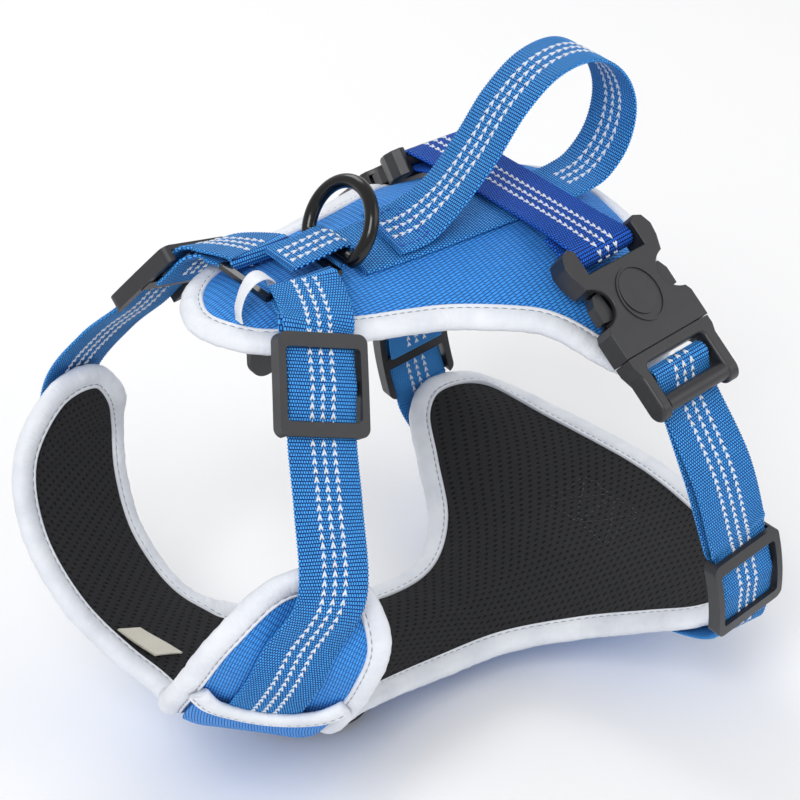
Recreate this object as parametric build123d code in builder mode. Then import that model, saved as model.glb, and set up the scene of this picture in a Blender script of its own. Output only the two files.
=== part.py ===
from build123d import *
import math
import os

os.makedirs("parts", exist_ok=True)

# A dog's no-pull harness. The head is towards -X, the tail towards +X, the back towards +Z.
# The dog's right side is +Y. The origin is the middle of the space that the chest fills.

# Webbing and cloth
WEB_WIDTH = 25.0
WEB = 1.5
COVER = 1.0
FOAM = 2.8
GAP = 0.1
BINDING_RADIUS = 3.4
PANEL_HALF = FOAM / 2 + GAP + COVER
PATCH = 1.6

# Back panel: half widths of the outline at each station along the back
BACK_OUTLINE = [
    (-81, 7), (-75, 17), (-64, 25), (-38, 30), (-5, 33), (20, 46),
    (42, 62), (56, 66), (70, 60), (81, 43), (88, 25), (91, 8),
]

# Leash rings: wire, half the straight bar, height of the bow
RING_WIRE = 5.0
RING_HALF_BAR = 13.0
RING_HEIGHT = 23.0
RING_SLACK = 0.35
BACK_RING = (-29, 0, 72.4)
BACK_RING_LEAN = 30
CHEST_RING = (-42, 0, -119.3)
CHEST_RING_WIRE = 4.0
CHEST_RING_HEIGHT = 22.0

# Neck strap anchor: a flat frame with one bar for each strap to fold round
ANCHOR_X = -49.5
ANCHOR_HALF = 13.0
ANCHOR_Z = 70.4
ANCHOR_ROD = 2.0

# Girth webbing: its middle, and the bar of the right buckle that it folds round
GIRTH_X = 51.0
GIRTH_TOP_Z = 68.9
GIRTH_BAR = Vector(GIRTH_X, 46.0, 65.5)

# Side-release buckle: its direction away from the spine, and places along it from the bar
BUCKLE_WAY = Vector(0.114, 0.749, -0.651)
BUCKLE_HALF = 18.0
MOUTH_HALF = 19.6
BUCKLE_THICK = 10.0
BUCKLE_BAR = 4.0
FEMALE_START = 6.5
FEMALE_END = 38.0
NOTCH_CENTRE = (20.5, 18.2)
NOTCH_RADII = (9.0, 7.6)
NOTCH_END = 24.0
EAR_REACH = 13.4
CAVITY_START = 12.5
CAVITY_HALF = 17.9
CAVITY_MOUTH_HALF = 16.9
CAVITY_THICK = 6.4
TONGUE_THICK = 5.6
MALE_BAR_PLACE = 47.5
MALE_BAR = 4.0
MALE_HALF = 18.2
END_BAR = (57.2, 1.4)
END_BAR_RADIUS = 3.2
PRONG_PIVOT = (11.0, 33.6)

# Three-bar slide: length, width, rails, bars and the room left for the webbing
SLIDER = 34.0
SLIDER_WIDTH = 32.0
SLIDER_RAIL = 2.6
SLIDER_END_BAR = 4.8
SLIDER_MIDDLE_BAR = 5.0
SLIDER_BAR_THICK = 1.9
SLIDER_ROOM = 1.1
GIRTH_SLIDER_CURVE = 90.0


# ---------------------------------------------------------------- surfaces


def ease(t):
    """Smooth step from 0 to 1."""
    t = min(max(t, 0.0), 1.0)
    return t * t * (3 - 2 * t)


def spine_height(x):
    """Middle of the back panel along the spine: flat, with drooping ends."""
    rear = max((x - 58) / 33, 0.0)
    front = max((-x - 45) / 37, 0.0)
    return 64.5 - 2 * ease((x + 10) / 50) - 11.5 * rear**2 - 5 * front**2


def back_height(x, y):
    """Middle surface of the back panel: arched over the back, its right side lifted a little."""
    rear = ease((x + 15) / 55)
    arch = 0.0071 - 0.0056 * rear + 0.004 * min(max((x - 58) / 33, 0.0), 1.0)
    shoulder = 1.5e-6 * rear
    roll = 0.03 + 0.19 * math.exp(-(((x + 5) / 28) ** 2)) + 0.06 * ease((x - 62) / 12)
    return spine_height(x) - arch * y**2 - shoulder * y**4 + roll * y


def blanket(stations, low, high):
    """A sheet that lies along the back panel between two heights above its middle surface."""
    with BuildPart() as sheet:
        for x, half in stations:
            across = [half * (i / 3 - 1) for i in range(7)]
            top = [(y, back_height(x, y) + high) for y in across]
            bottom = [(y, back_height(x, y) + low) for y in reversed(across)]
            with BuildSketch(Plane(origin=(x, 0, 0), x_dir=(0, 1, 0), z_dir=(1, 0, 0))):
                with BuildLine():
                    Polyline(*top, *bottom, close=True)
                make_face()
        loft(ruled=True)
    return sheet.part


def station(centre, across, along):
    """Plane for one section of a band: X across the band, Z along it."""
    return Plane(origin=centre, x_dir=across, z_dir=along)


def ribbon(planes, widths, thick, lift=0.0):
    """A flat band through the given section planes."""
    with BuildPart() as band:
        for plane, width in zip(planes, widths):
            with BuildSketch(plane):
                with Locations((0, lift)):
                    Rectangle(width, thick)
        loft(ruled=True)
    return band.part


def fold_round(centre, across, start_side, far_side, radius):
    """Sections of a band that turns half way round a bar, from one side past the far side."""
    sections = []
    for step in range(7):
        turn = math.radians(30 * step)
        out = start_side * math.cos(turn) + far_side * math.sin(turn)
        way = far_side * math.cos(turn) - start_side * math.sin(turn)
        sections.append(station(centre + out * radius, across, way))
    return sections


def turned_back(planes):
    """The same sections in the other order, for the layer that runs back."""
    return [Plane(origin=p.origin, x_dir=p.x_dir, z_dir=-p.z_dir) for p in reversed(planes)]


def roll_along(rim, radius):
    """A round roll along a line, each corner an arc as large as its two runs allow."""
    arcs = []
    for before, corner, after in zip(rim, rim[1:], rim[2:]):
        turn = math.radians((corner - before).get_angle(after - corner))
        run = min((corner - before).length, (after - corner).length)
        arcs.append(min(0.45 * run / math.tan(turn / 2), 300))
    with BuildPart() as roll:
        with BuildLine() as path:
            FilletPolyline(*rim, radius=arcs)
        with BuildSketch(Plane(origin=path.line @ 0, z_dir=path.line % 0)):
            Circle(radius)
        sweep(path=path.line)
    return roll.part


def write_pair(right_part, stem):
    """Writes the right-hand piece and its mirror image on the left."""
    with BuildPart() as right:
        add(right_part)
    right.part.label = f"{stem}_right"
    export_step(right.part, f"parts/{stem}_right.step")
    with BuildPart() as left:
        add(mirror(right_part, about=Plane.XZ))
    left.part.label = f"{stem}_left"
    export_step(left.part, f"parts/{stem}_left.step")


# ---------------------------------------------------------------- back panel

INSET = 2.6
back_stations = [(x, half - INSET) for x, half in BACK_OUTLINE]
cover_low = FOAM / 2 + GAP

with BuildPart() as back_panel_cover:
    add(blanket(back_stations, cover_low, cover_low + COVER))
back_panel_cover.part.label = "back_panel_cover"
export_step(back_panel_cover.part, "parts/back_panel_cover.step")

with BuildPart() as back_panel_foam:
    add(blanket(back_stations, -FOAM / 2, FOAM / 2))
back_panel_foam.part.label = "back_panel_foam"
export_step(back_panel_foam.part, "parts/back_panel_foam.step")

with BuildPart() as back_panel_lining:
    add(blanket(back_stations, -cover_low - COVER, -cover_low))
back_panel_lining.part.label = "back_panel_lining"
export_step(back_panel_lining.part, "parts/back_panel_lining.step")

back_edge = [(BACK_OUTLINE[0][0], 0)] + BACK_OUTLINE + [(BACK_OUTLINE[-1][0], 0)]
back_rolls = []
for side in (-1, 1):
    rim = [Vector(x, side * y, back_height(x, side * y)) for x, y in back_edge]
    back_rolls.append(roll_along(rim, BINDING_RADIUS))

with BuildPart() as back_panel_binding:
    for back_roll in back_rolls:
        add(back_roll)
back_panel_binding.part.label = "back_panel_binding"
export_step(back_panel_binding.part, "parts/back_panel_binding.step")

# Spine webbing, from behind the ring's bar to the girth webbing
WEB_LOW = PANEL_HALF + 0.3
with BuildPart() as spine_webbing:
    add(blanket([(x, WEB_WIDTH / 2) for x in (-23, -8, 8, 24, 44)], WEB_LOW, WEB_LOW + WEB))
spine_webbing.part.label = "spine_webbing"
export_step(spine_webbing.part, "parts/spine_webbing.step")

# ---------------------------------------------------------------- girth webbing

# The right buckle's plane: X across it, Y along it away from the spine, Z outward.
buckle_out = Vector(1, 0, 0).cross(BUCKLE_WAY)
BUCKLE_PLANE = Plane(origin=GIRTH_BAR, x_dir=BUCKLE_WAY.cross(buckle_out), z_dir=buckle_out)


# Across the back, with each end folded round a buckle's bar and sewn back underneath.
girth_radius = BUCKLE_BAR / 2 + 0.35 + WEB / 2
girth_bar_way = BUCKLE_PLANE.x_dir
girth_way = Vector(0, 0, 1).cross(girth_bar_way).normalized()
girth_up = girth_bar_way.cross(girth_way)
straight_across = Vector(1, 0, 0)
girth_right = [station(Vector(GIRTH_X, 35, GIRTH_TOP_Z), straight_across, Vector(0, 1, 0))]
girth_right += fold_round(GIRTH_BAR, girth_bar_way, girth_up, girth_way, girth_radius)
girth_right += [station(Vector(GIRTH_X, 31, 66.2), straight_across, Vector(0, -1, 0))]
girth_left = []
for plane in reversed(girth_right):
    spot, across, way = plane.origin, plane.x_dir, plane.z_dir
    girth_left.append(
        station(Vector(spot.X, -spot.Y, spot.Z), Vector(across.X, -across.Y, across.Z),
                Vector(-way.X, way.Y, -way.Z))
    )
girth_sections = girth_left + girth_right

with BuildPart() as girth_webbing:
    add(ribbon(girth_sections, [WEB_WIDTH] * len(girth_sections), WEB))
girth_webbing.part.label = "girth_webbing"
export_step(girth_webbing.part, "parts/girth_webbing.step")

# ---------------------------------------------------------------- leash rings


def d_ring(plane, wire, height):
    """A ring with a straight bar along the plane's X and a round bow above it."""
    with BuildPart() as ring:
        with BuildLine(plane) as bow:
            ThreePointArc((-RING_HALF_BAR, 0), (0, height), (RING_HALF_BAR, 0))
        with BuildSketch(Plane(origin=bow.line @ 0, z_dir=bow.line % 0)):
            Circle(wire / 2)
        sweep(path=bow.line)
        with BuildLine(plane) as bar:
            Line((-RING_HALF_BAR, 0), (RING_HALF_BAR, 0))
        with BuildSketch(Plane(origin=bar.line @ 0, z_dir=bar.line % 0)):
            Circle(wire / 2)
        sweep(path=bar.line)
        for end in (bar.line @ 0, bar.line @ 1):
            with Locations(end):
                Sphere(wire / 2)
    return ring.part


lean = math.radians(BACK_RING_LEAN)
back_ring_plane = Plane(
    origin=BACK_RING,
    x_dir=(0, 1, 0),
    z_dir=(math.cos(lean), 0, -math.sin(lean)),
)
with BuildPart() as back_ring:
    add(d_ring(back_ring_plane, RING_WIRE, RING_HEIGHT))
back_ring.part.label = "back_ring"
export_step(back_ring.part, "parts/back_ring.step")

chest_ring_plane = Plane(origin=CHEST_RING, x_dir=(0, 1, 0), z_dir=(0, 0, -1))
with BuildPart() as chest_ring:
    add(d_ring(chest_ring_plane, CHEST_RING_WIRE, CHEST_RING_HEIGHT))
chest_ring.part.label = "chest_ring"
export_step(chest_ring.part, "parts/chest_ring.step")


def ring_loop(centre, bar_wire, half_width, tail):
    """Webbing folded round a ring's bar, with one flat tail to the given X and Z."""
    radius = bar_wire / 2 + RING_SLACK + WEB / 2
    x, _, z = centre
    side_plane = Plane(origin=(0, 0, 0), x_dir=(1, 0, 0), z_dir=(0, -1, 0))
    with BuildPart() as loop:
        with BuildSketch(side_plane):
            with Locations((x, z)):
                Circle(radius + WEB / 2)
                Circle(radius - WEB / 2, mode=Mode.SUBTRACT)
        with BuildSketch(side_plane):
            with BuildLine():
                Line((x, z + radius), tail)
            trace(line_width=WEB)
        extrude(amount=half_width, both=True)
    return loop.part


with BuildPart() as ring_tab:
    add(ring_loop(BACK_RING, RING_WIRE, 8.6, (-50, 73.8)))
ring_tab.part.label = "ring_tab"
export_step(ring_tab.part, "parts/ring_tab.step")

with BuildPart() as chest_ring_tab:
    add(ring_loop(CHEST_RING, CHEST_RING_WIRE, 9.5, (-57, -116.0)))
chest_ring_tab.part.label = "chest_ring_tab"
export_step(chest_ring_tab.part, "parts/chest_ring_tab.step")

# Anchor under the ring tab: two rods along X joined by two cross bars
with BuildPart() as neck_anchor:
    for side in (-1, 1):
        rod = Plane(
            origin=(ANCHOR_X - 15, side * ANCHOR_HALF, ANCHOR_Z),
            x_dir=(0, 1, 0),
            z_dir=(1, 0, 0),
        )
        with BuildSketch(rod):
            Circle(ANCHOR_ROD / 2)
        extrude(amount=30)
    with BuildSketch(Plane.XY.offset(ANCHOR_Z - ANCHOR_ROD / 2)):
        with Locations((ANCHOR_X - 14.2, 0), (ANCHOR_X + 14.2, 0)):
            Rectangle(2.2, 2 * ANCHOR_HALF + 2)
    extrude(amount=ANCHOR_ROD)
neck_anchor.part.label = "neck_anchor"
export_step(neck_anchor.part, "parts/neck_anchor.step")

# ---------------------------------------------------------------- handle

HANDLE_POINTS = [
    (-8, 71.4), (5, 71.4), (19, 78), (32, 90), (45, 105), (60, 115), (76, 116),
    (89, 107), (95, 93), (92, 78), (83, 68.5), (67, 65.6),
]
handle_plane = Plane(origin=(0, 0, 0), x_dir=(1, 0, 0), z_dir=(0, -1, 0))
with BuildPart() as handle_loop:
    with BuildLine(handle_plane) as handle_line:
        FilletPolyline(*HANDLE_POINTS, radius=14)
    handle_start = Plane(
        origin=handle_line.line @ 0,
        x_dir=(0, 1, 0),
        z_dir=handle_line.line % 0,
    )
    with BuildSketch(handle_start):
        Rectangle(WEB_WIDTH - 1, WEB)
    sweep(path=handle_line.line)
handle_loop.part.label = "handle_loop"
export_step(handle_loop.part, "parts/handle_loop.step")

# ---------------------------------------------------------------- chest panel

# Sections of the right arm, tip first: leg-side edge, neck-side edge.
ARM_EDGES = [
    ((-72, 77, -4), (-99, 72, 6)),
    ((-69, 83, -22), (-119, 64, -12)),
    ((-72, 79, -45), (-125, 51, -35)),
    ((-73, 65, -67), (-121, 32, -58)),
    ((-63, 43, -88), (-111, 15, -75)),
    ((-54, 24, -102), (-105, 6, -82)),
    ((-50, 0, -110), (-103, 0, -85)),
]
# Sections of the belly, front first: place, half width, height in the middle and at the edge.
BELLY = [
    (-68, 24, -101.2, -97), (-54, 33, -107.8, -95.5), (-38, 32, -109.5, -97), (0, 27, -108, -105),
    (30, 29, -107, -106), (50, 43, -103.5, -100), (62, 66, -100, -88), (72, 86, -96.5, -79),
    (84, 93, -93, -73), (98, 92, -88.5, -74), (110, 84, -85, -77), (119, 54, -82, -79),
    (126, 14, -80.5, -80),
]
# Right half of the rim: from the breastbone up the neck edge, round the tip, down the leg hole,
# round the wing and along the rear edge.
CHEST_RIM = [
    (-103, 0, -85), (-105, 6, -82), (-111, 15, -75), (-121, 32, -58), (-125, 51, -35), (-119, 64, -12),
    (-100, 71, 5), (-80, 77, 3), (-71, 78, -9), (-69, 84, -25), (-72, 79, -45), (-73, 66, -66),
    (-64, 46, -87), (-40, 33, -97), (0, 27, -105), (30, 29, -106), (50, 44, -100), (62, 67, -88),
    (72, 86, -78), (83, 93, -73), (100, 92, -74), (110, 84, -77), (119, 54, -79), (126, 16, -80),
    (127, 0, -80),
]
PATCH_LIFT = PANEL_HALF + 0.3 + WEB + 0.9 + PATCH / 2
STRAP_LIFT = PANEL_HALF + 0.3 + WEB / 2


def moved(plane, lift):
    """The section plane moved outward from the dog."""
    return Plane(origin=plane.origin + plane.y_dir * lift, x_dir=plane.x_dir, z_dir=plane.z_dir)


def arm_planes():
    """Section planes from the right arm's tip, over the breastbone, to the left arm's tip.
    Their X points to the neck edge and their Y away from the dog."""
    right = [(Vector(*leg), Vector(*neck)) for leg, neck in ARM_EDGES]
    left = [(Vector(a.X, -a.Y, a.Z), Vector(b.X, -b.Y, b.Z)) for a, b in right[-2::-1]]
    edges = right + left
    centres = [(a + b) / 2 for a, b in edges]
    planes = []
    for i, (leg_side, neck_side) in enumerate(edges):
        ahead = centres[min(i + 1, len(centres) - 1)]
        behind = centres[max(i - 1, 0)]
        planes.append(station(centres[i], neck_side - leg_side, ahead - behind))
    return planes, [(b - a).length - 2 * INSET for a, b in edges]


def belly(low, high):
    """The belly part between two heights above its middle surface."""
    with BuildPart() as sheet:
        for x, half, middle, edge in BELLY:
            across = [(half - INSET) * (i / 3 - 1) for i in range(7)]
            rise = (edge - middle) / half**2
            top = [(y, middle + rise * y**2 + high) for y in across]
            bottom = [(y, middle + rise * y**2 + low) for y in reversed(across)]
            with BuildSketch(Plane(origin=(x, 0, 0), x_dir=(0, 1, 0), z_dir=(1, 0, 0))):
                with BuildLine():
                    Polyline(*top, *bottom, close=True)
                make_face()
        loft(ruled=True)
    return sheet.part


arms, arm_widths = arm_planes()
layer = FOAM / 2 + GAP + COVER / 2

with BuildPart() as chest_panel_lining:
    add(ribbon(arms, arm_widths, COVER, -layer))
    add(belly(cover_low, cover_low + COVER))
chest_panel_lining.part.label = "chest_panel_lining"
export_step(chest_panel_lining.part, "parts/chest_panel_lining.step")

with BuildPart() as chest_panel_cover:
    add(ribbon(arms, arm_widths, COVER, layer))
    add(belly(-cover_low - COVER, -cover_low))
    add(chest_panel_lining.part, mode=Mode.SUBTRACT)
chest_panel_cover.part.label = "chest_panel_cover"
export_step(chest_panel_cover.part, "parts/chest_panel_cover.step")

with BuildPart() as foam_blank:
    add(ribbon(arms, arm_widths, FOAM))
    add(belly(-FOAM / 2, FOAM / 2))
    add(chest_panel_lining.part, mode=Mode.SUBTRACT)
    add(chest_panel_cover.part, mode=Mode.SUBTRACT)

# The thin scraps outside the two cloths are trimmed away.
with BuildPart() as chest_panel_foam:
    add(foam_blank.part.solids().sort_by(SortBy.VOLUME)[-1])
chest_panel_foam.part.label = "chest_panel_foam"
export_step(chest_panel_foam.part, "parts/chest_panel_foam.step")

right_rim = [Vector(*p) for p in CHEST_RIM]
chest_rolls = [
    roll_along(right_rim, BINDING_RADIUS),
    roll_along([Vector(p.X, -p.Y, p.Z) for p in right_rim], BINDING_RADIUS),
]
with BuildPart() as chest_panel_binding:
    for chest_roll in chest_rolls:
        add(chest_roll)
chest_panel_binding.part.label = "chest_panel_binding"
export_step(chest_panel_binding.part, "parts/chest_panel_binding.step")

# Patch over the breastbone, outside the ends of the neck straps, with a roll on its two edges
PATCH_FROM = 3
patch_planes = [moved(plane, PATCH_LIFT) for plane in arms[PATCH_FROM:-PATCH_FROM]]
with BuildPart() as chest_patch:
    add(ribbon(patch_planes, [width - 7 for width in arm_widths[PATCH_FROM:-PATCH_FROM]], PATCH))
chest_patch.part.label = "chest_patch"
export_step(chest_patch.part, "parts/chest_patch.step")

PATCH_ROLL = 2.0
patch_edge = arms[PATCH_FROM]
patch_reach = (arm_widths[PATCH_FROM] - 7) / 2
roll_centre = patch_edge.origin + patch_edge.y_dir * (PATCH_LIFT - PATCH / 2 + PATCH_ROLL)
roll_start = roll_centre - patch_edge.x_dir * patch_reach
with BuildPart() as patch_roll:
    with BuildSketch(Plane(origin=roll_start, z_dir=patch_edge.x_dir)):
        Circle(PATCH_ROLL)
    extrude(amount=2 * patch_reach)
write_pair(patch_roll.part, "chest_patch_binding")

# Size label on the lining, beside the neck edge
label_centre = (arms[3].origin + arms[4].origin) / 2
label_across = (arms[3].x_dir + arms[4].x_dir).normalized()
label_way = arms[4].origin - arms[3].origin
label_plane = moved(station(label_centre, label_across, label_way), -PANEL_HALF - 1.2)
with BuildPart() as size_label:
    with BuildSketch(Plane(origin=label_plane.origin, x_dir=label_plane.x_dir, z_dir=label_plane.y_dir)):
        with Locations((14, 0)):
            Rectangle(11, 19)
    extrude(amount=0.5)
size_label.part.label = "size_label"
export_step(size_label.part, "parts/size_label.step")

# Keeper strip at the front of the back panel, and the small rounded tab underneath
KEEPER = [
    ((-74, -12, 64.6), (0.2, 1, 0)), ((-73.8, -11.2, 68.6), (0.3, 1, 0)), ((-71, -10, 73.2), (0.4, 1, 0)),
    ((-66.5, -8.6, 75.8), (0.3, 1, 0)), ((-61.5, -7, 75.4), (0.1, 1, 0)), ((-58, -6.4, 72.4), (0, 1, 0)),
    ((-56.6, -6.2, 67.6), (0, 1, 0)),
]
keeper_points = [Vector(*centre) for centre, _ in KEEPER]
keeper_planes = []
for i, (_, sideways) in enumerate(KEEPER):
    ahead = keeper_points[min(i + 1, len(KEEPER) - 1)]
    behind = keeper_points[max(i - 1, 0)]
    keeper_planes.append(station(keeper_points[i], sideways, ahead - behind))
with BuildPart() as keeper_strip:
    add(ribbon(keeper_planes, [6.5] * len(KEEPER), 0.9))
keeper_strip.part.label = "keeper_strip"
export_step(keeper_strip.part, "parts/keeper_strip.step")

with BuildPart() as underside_tab:
    with BuildSketch(Plane(origin=(-67, -14, 49.5), x_dir=(1, 0, 0), z_dir=(0, -1, 0))):
        Circle(6)
        with Locations((0, 3.5)):
            Rectangle(12, 7)
    extrude(amount=2.4)
underside_tab.part.label = "underside_tab"
export_step(underside_tab.part, "parts/underside_tab.step")

# ---------------------------------------------------------------- sliders


def slider_blank(curve):
    """Three-bar slide: X across the webbing, Y along it, Z outward, strap centre at Z = 0.
    The end bars stand outside the webbing and the middle bar inside it."""
    inner = SLIDER_WIDTH / 2 - SLIDER_RAIL
    low = -SLIDER_ROOM - SLIDER_BAR_THICK + 0.3
    high = SLIDER_ROOM + SLIDER_BAR_THICK
    half = SLIDER / 2
    sag = half**2 / (2 * curve)
    side_plane = Plane(origin=(0, 0, 0), x_dir=(0, 1, 0), z_dir=(1, 0, 0))
    window = half - SLIDER_END_BAR
    with BuildPart() as blank:
        with BuildSketch(side_plane):
            with BuildLine():
                ThreePointArc((-half, high - sag), (0, high), (half, high - sag))
                Line((half, high - sag), (half, low - sag))
                ThreePointArc((half, low - sag), (0, low), (-half, low - sag))
                Line((-half, low - sag), (-half, high - sag))
            make_face()
        extrude(amount=SLIDER_WIDTH / 2, both=True)
        fillet(blank.edges().filter_by(Axis.Z), 3.2)
        with BuildSketch(side_plane):
            with BuildLine():
                ThreePointArc((-half, SLIDER_ROOM - sag), (0, SLIDER_ROOM), (half, SLIDER_ROOM - sag))
                Line((half, SLIDER_ROOM - sag), (half, low - 5))
                Line((half, low - 5), (-half, low - 5))
                Line((-half, low - 5), (-half, SLIDER_ROOM - sag))
            make_face()
        extrude(amount=inner, both=True, mode=Mode.SUBTRACT)
        with BuildSketch(Plane.XY):
            RectangleRounded(2 * inner, 2 * window, 1.5)
        extrude(amount=10, mode=Mode.SUBTRACT)
        with BuildSketch(Plane.XY.offset(-SLIDER_ROOM - SLIDER_BAR_THICK)):
            Rectangle(2 * inner + SLIDER_RAIL, SLIDER_MIDDLE_BAR)
        extrude(amount=SLIDER_BAR_THICK)
    return blank.part


def placed(blank, plane):
    """The blank set on a plane: its X across, its Y along, its Z outward."""
    with BuildPart() as part:
        with Locations(plane):
            add(blank)
    return part.part


def along_curve(plane, curve, places, lift=0.0):
    """Sections of a band that follows the curve of a slide set on the given section plane."""
    sections = []
    for place in places:
        lean = place / curve
        way = plane.z_dir * math.cos(lean) - plane.y_dir * math.sin(lean)
        out = plane.y_dir * math.cos(lean) + plane.z_dir * math.sin(lean)
        middle = plane.origin - plane.y_dir * curve
        sections.append(station(middle + out * (curve + lift), plane.x_dir, way))
    return sections


NECK_SLIDER_CURVE = 1000.0
NECK_SLIDER = station(Vector(-65, 45, 53), Vector(-0.95, -0.2, 0.25), Vector(-0.36, 0.55, -0.75))
GIRTH_SLIDER = station(Vector(80, 99.8, -56), Vector(-0.97, 0.05, -0.2), Vector(0.17, -0.02, -0.98))
SLIDER_REACH = SLIDER / 2 + 1.5
UNDER_LIFT = -SLIDER_ROOM - SLIDER_BAR_THICK - 0.35 - WEB / 2


def face_on(plane):
    """The plane of a slide on a strap section: X across, Z outward."""
    return Plane(origin=plane.origin, x_dir=plane.x_dir, z_dir=plane.y_dir)


write_pair(placed(slider_blank(NECK_SLIDER_CURVE), face_on(NECK_SLIDER)), "neck_slider")
write_pair(placed(slider_blank(GIRTH_SLIDER_CURVE), face_on(GIRTH_SLIDER)), "girth_slider")

# ---------------------------------------------------------------- neck straps

neck_radius = ANCHOR_ROD / 2 + 0.35 + WEB / 2
neck_bar = Vector(ANCHOR_X, ANCHOR_HALF, ANCHOR_Z)
neck_across = Vector(-1, 0, 0)
neck_over = [
    station(Vector(-55, 29, 69.4), Vector(-0.97, -0.2, 0.1), Vector(-0.4, 0.75, -0.5)),
]
neck_over += along_curve(NECK_SLIDER, NECK_SLIDER_CURVE, (-SLIDER_REACH, SLIDER_REACH))
neck_over += [
    station(Vector(-79, 68.5, 24), Vector(-0.93, -0.2, 0.3), Vector(-0.3, 0.4, -0.85)),
    station(Vector(-88, 82.5, 0), Vector(-0.93, -0.2, 0.25), Vector(-0.25, 0.05, -0.97)),
]
neck_over += [moved(plane, STRAP_LIFT) for plane in arms[1:6]]
neck_back = [moved(neck_over[0], -3.3)]
neck_back += along_curve(NECK_SLIDER, NECK_SLIDER_CURVE, (-SLIDER_REACH, 3), UNDER_LIFT)
neck_sections = turned_back(neck_back)
neck_sections += fold_round(neck_bar, neck_across, Vector(0, 0, -1), Vector(0, -1, 0), neck_radius)
neck_sections += neck_over

with BuildPart() as neck_strap:
    add(ribbon(neck_sections, [WEB_WIDTH] * len(neck_sections), WEB))
write_pair(neck_strap.part, "neck_strap")

# ---------------------------------------------------------------- buckles


def female_blank():
    """Socket half: webbing bar between two horned ears, hollow body open at the mouth, and a
    round notch in each side."""
    right = [
        (EAR_REACH, FEMALE_START), (EAR_REACH, -2.8), (15.6, -4.4), (19, -3), (20.6, 1), (20, 5.5),
        (18, 11), (18.4, 25.5), (MOUTH_HALF, 28), (MOUTH_HALF, FEMALE_END),
    ]
    left = [(-x, y) for x, y in reversed(right)]
    with BuildPart() as body:
        with BuildSketch(Plane.XY.offset(-BUCKLE_THICK / 2)) as outline:
            with BuildLine():
                Polyline(*right, *left, close=True)
            make_face()
            with Locations(NOTCH_CENTRE, (-NOTCH_CENTRE[0], NOTCH_CENTRE[1])):
                Ellipse(*NOTCH_RADII, mode=Mode.SUBTRACT)
            ears = outline.vertices().filter_by_position(Axis.Y, -5, 6)
            fillet(ears, 0.9)
        extrude(amount=BUCKLE_THICK)
        fillet(body.edges().filter_by(Plane.XY).group_by(Axis.Z)[-1], 0.5)
        fillet(body.edges().filter_by(Plane.XY).group_by(Axis.Z)[0], 0.5)
        with BuildSketch(Plane.XY.offset(-CAVITY_THICK / 2)):
            with BuildLine():
                Polyline(
                    (-CAVITY_HALF, CAVITY_START), (-CAVITY_HALF, NOTCH_END),
                    (-CAVITY_MOUTH_HALF, FEMALE_END), (-CAVITY_MOUTH_HALF, FEMALE_END + 5),
                    (CAVITY_MOUTH_HALF, FEMALE_END + 5), (CAVITY_MOUTH_HALF, FEMALE_END),
                    (CAVITY_HALF, NOTCH_END), (CAVITY_HALF, CAVITY_START), close=True,
                )
            make_face()
        extrude(amount=CAVITY_THICK, mode=Mode.SUBTRACT)
        with BuildSketch(Plane(origin=(-14, 0, 0), x_dir=(0, 1, 0), z_dir=(1, 0, 0))):
            Circle(BUCKLE_BAR / 2)
        extrude(amount=28)
        with BuildSketch(Plane.XY.offset(BUCKLE_THICK / 2)):
            with Locations((0, 20.5)):
                Ellipse(8.6, 10.4)
                Ellipse(7.9, 9.7, mode=Mode.SUBTRACT)
            with Locations((-0.6, 19.6)):
                Ellipse(6.8, 8.4)
        extrude(amount=0.5)
    return body.part


def male_blank():
    """Plug half: tongue with a centre guide, and a frame with a cross bar for the webbing to
    turn round and a thick end bar that it leaves under."""
    with BuildPart() as body:
        with BuildSketch(Plane.XY.offset(-TONGUE_THICK / 2)):
            with Locations((0, 34.5)):
                Rectangle(2 * CAVITY_MOUTH_HALF - 0.4, 8)
            with Locations((0, 23)):
                RectangleRounded(5, 19, 1.5)
            with Locations((PRONG_PIVOT[0], PRONG_PIVOT[1] - 1), (-PRONG_PIVOT[0], PRONG_PIVOT[1] - 1)):
                Rectangle(6.6, 7, mode=Mode.SUBTRACT)
        extrude(amount=TONGUE_THICK)
        with BuildSketch(Plane.XY.offset(-4.6)):
            with BuildLine():
                Polyline(
                    (-MOUTH_HALF + 0.4, 38.3), (-MOUTH_HALF + 0.4, 41.5), (-MALE_HALF, 44.5),
                    (-MALE_HALF, END_BAR[0]), (MALE_HALF, END_BAR[0]),
                    (MALE_HALF, 44.5), (MOUTH_HALF - 0.4, 41.5), (MOUTH_HALF - 0.4, 38.3),
                    close=True,
                )
            make_face()
        extrude(amount=9.2)
        with BuildSketch(Plane.XY.offset(-10)):
            with Locations((0, 52)):
                RectangleRounded(27.4, 19.6, 1.8)
        extrude(amount=20, mode=Mode.SUBTRACT)
        with BuildSketch(Plane(origin=(-14, MALE_BAR_PLACE, 0), x_dir=(0, 1, 0), z_dir=(1, 0, 0))):
            Circle(MALE_BAR / 2)
        extrude(amount=28)
        for side in (-1, 1):
            end_cap = Plane(origin=(side * 13.7, END_BAR[0], 0), x_dir=(0, 1, 0), z_dir=(side, 0, 0))
            with BuildSketch(end_cap):
                Circle(4.6)
            extrude(amount=MALE_HALF - 13.7)
        fillet(body.edges().filter_by(GeomType.CIRCLE).sort_by(Axis.Y)[-2:], 1.2)
        with BuildSketch(Plane(origin=(-14, END_BAR[0], END_BAR[1]), x_dir=(0, 1, 0), z_dir=(1, 0, 0))):
            Circle(END_BAR_RADIUS)
        extrude(amount=28)
    return body.part


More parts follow.
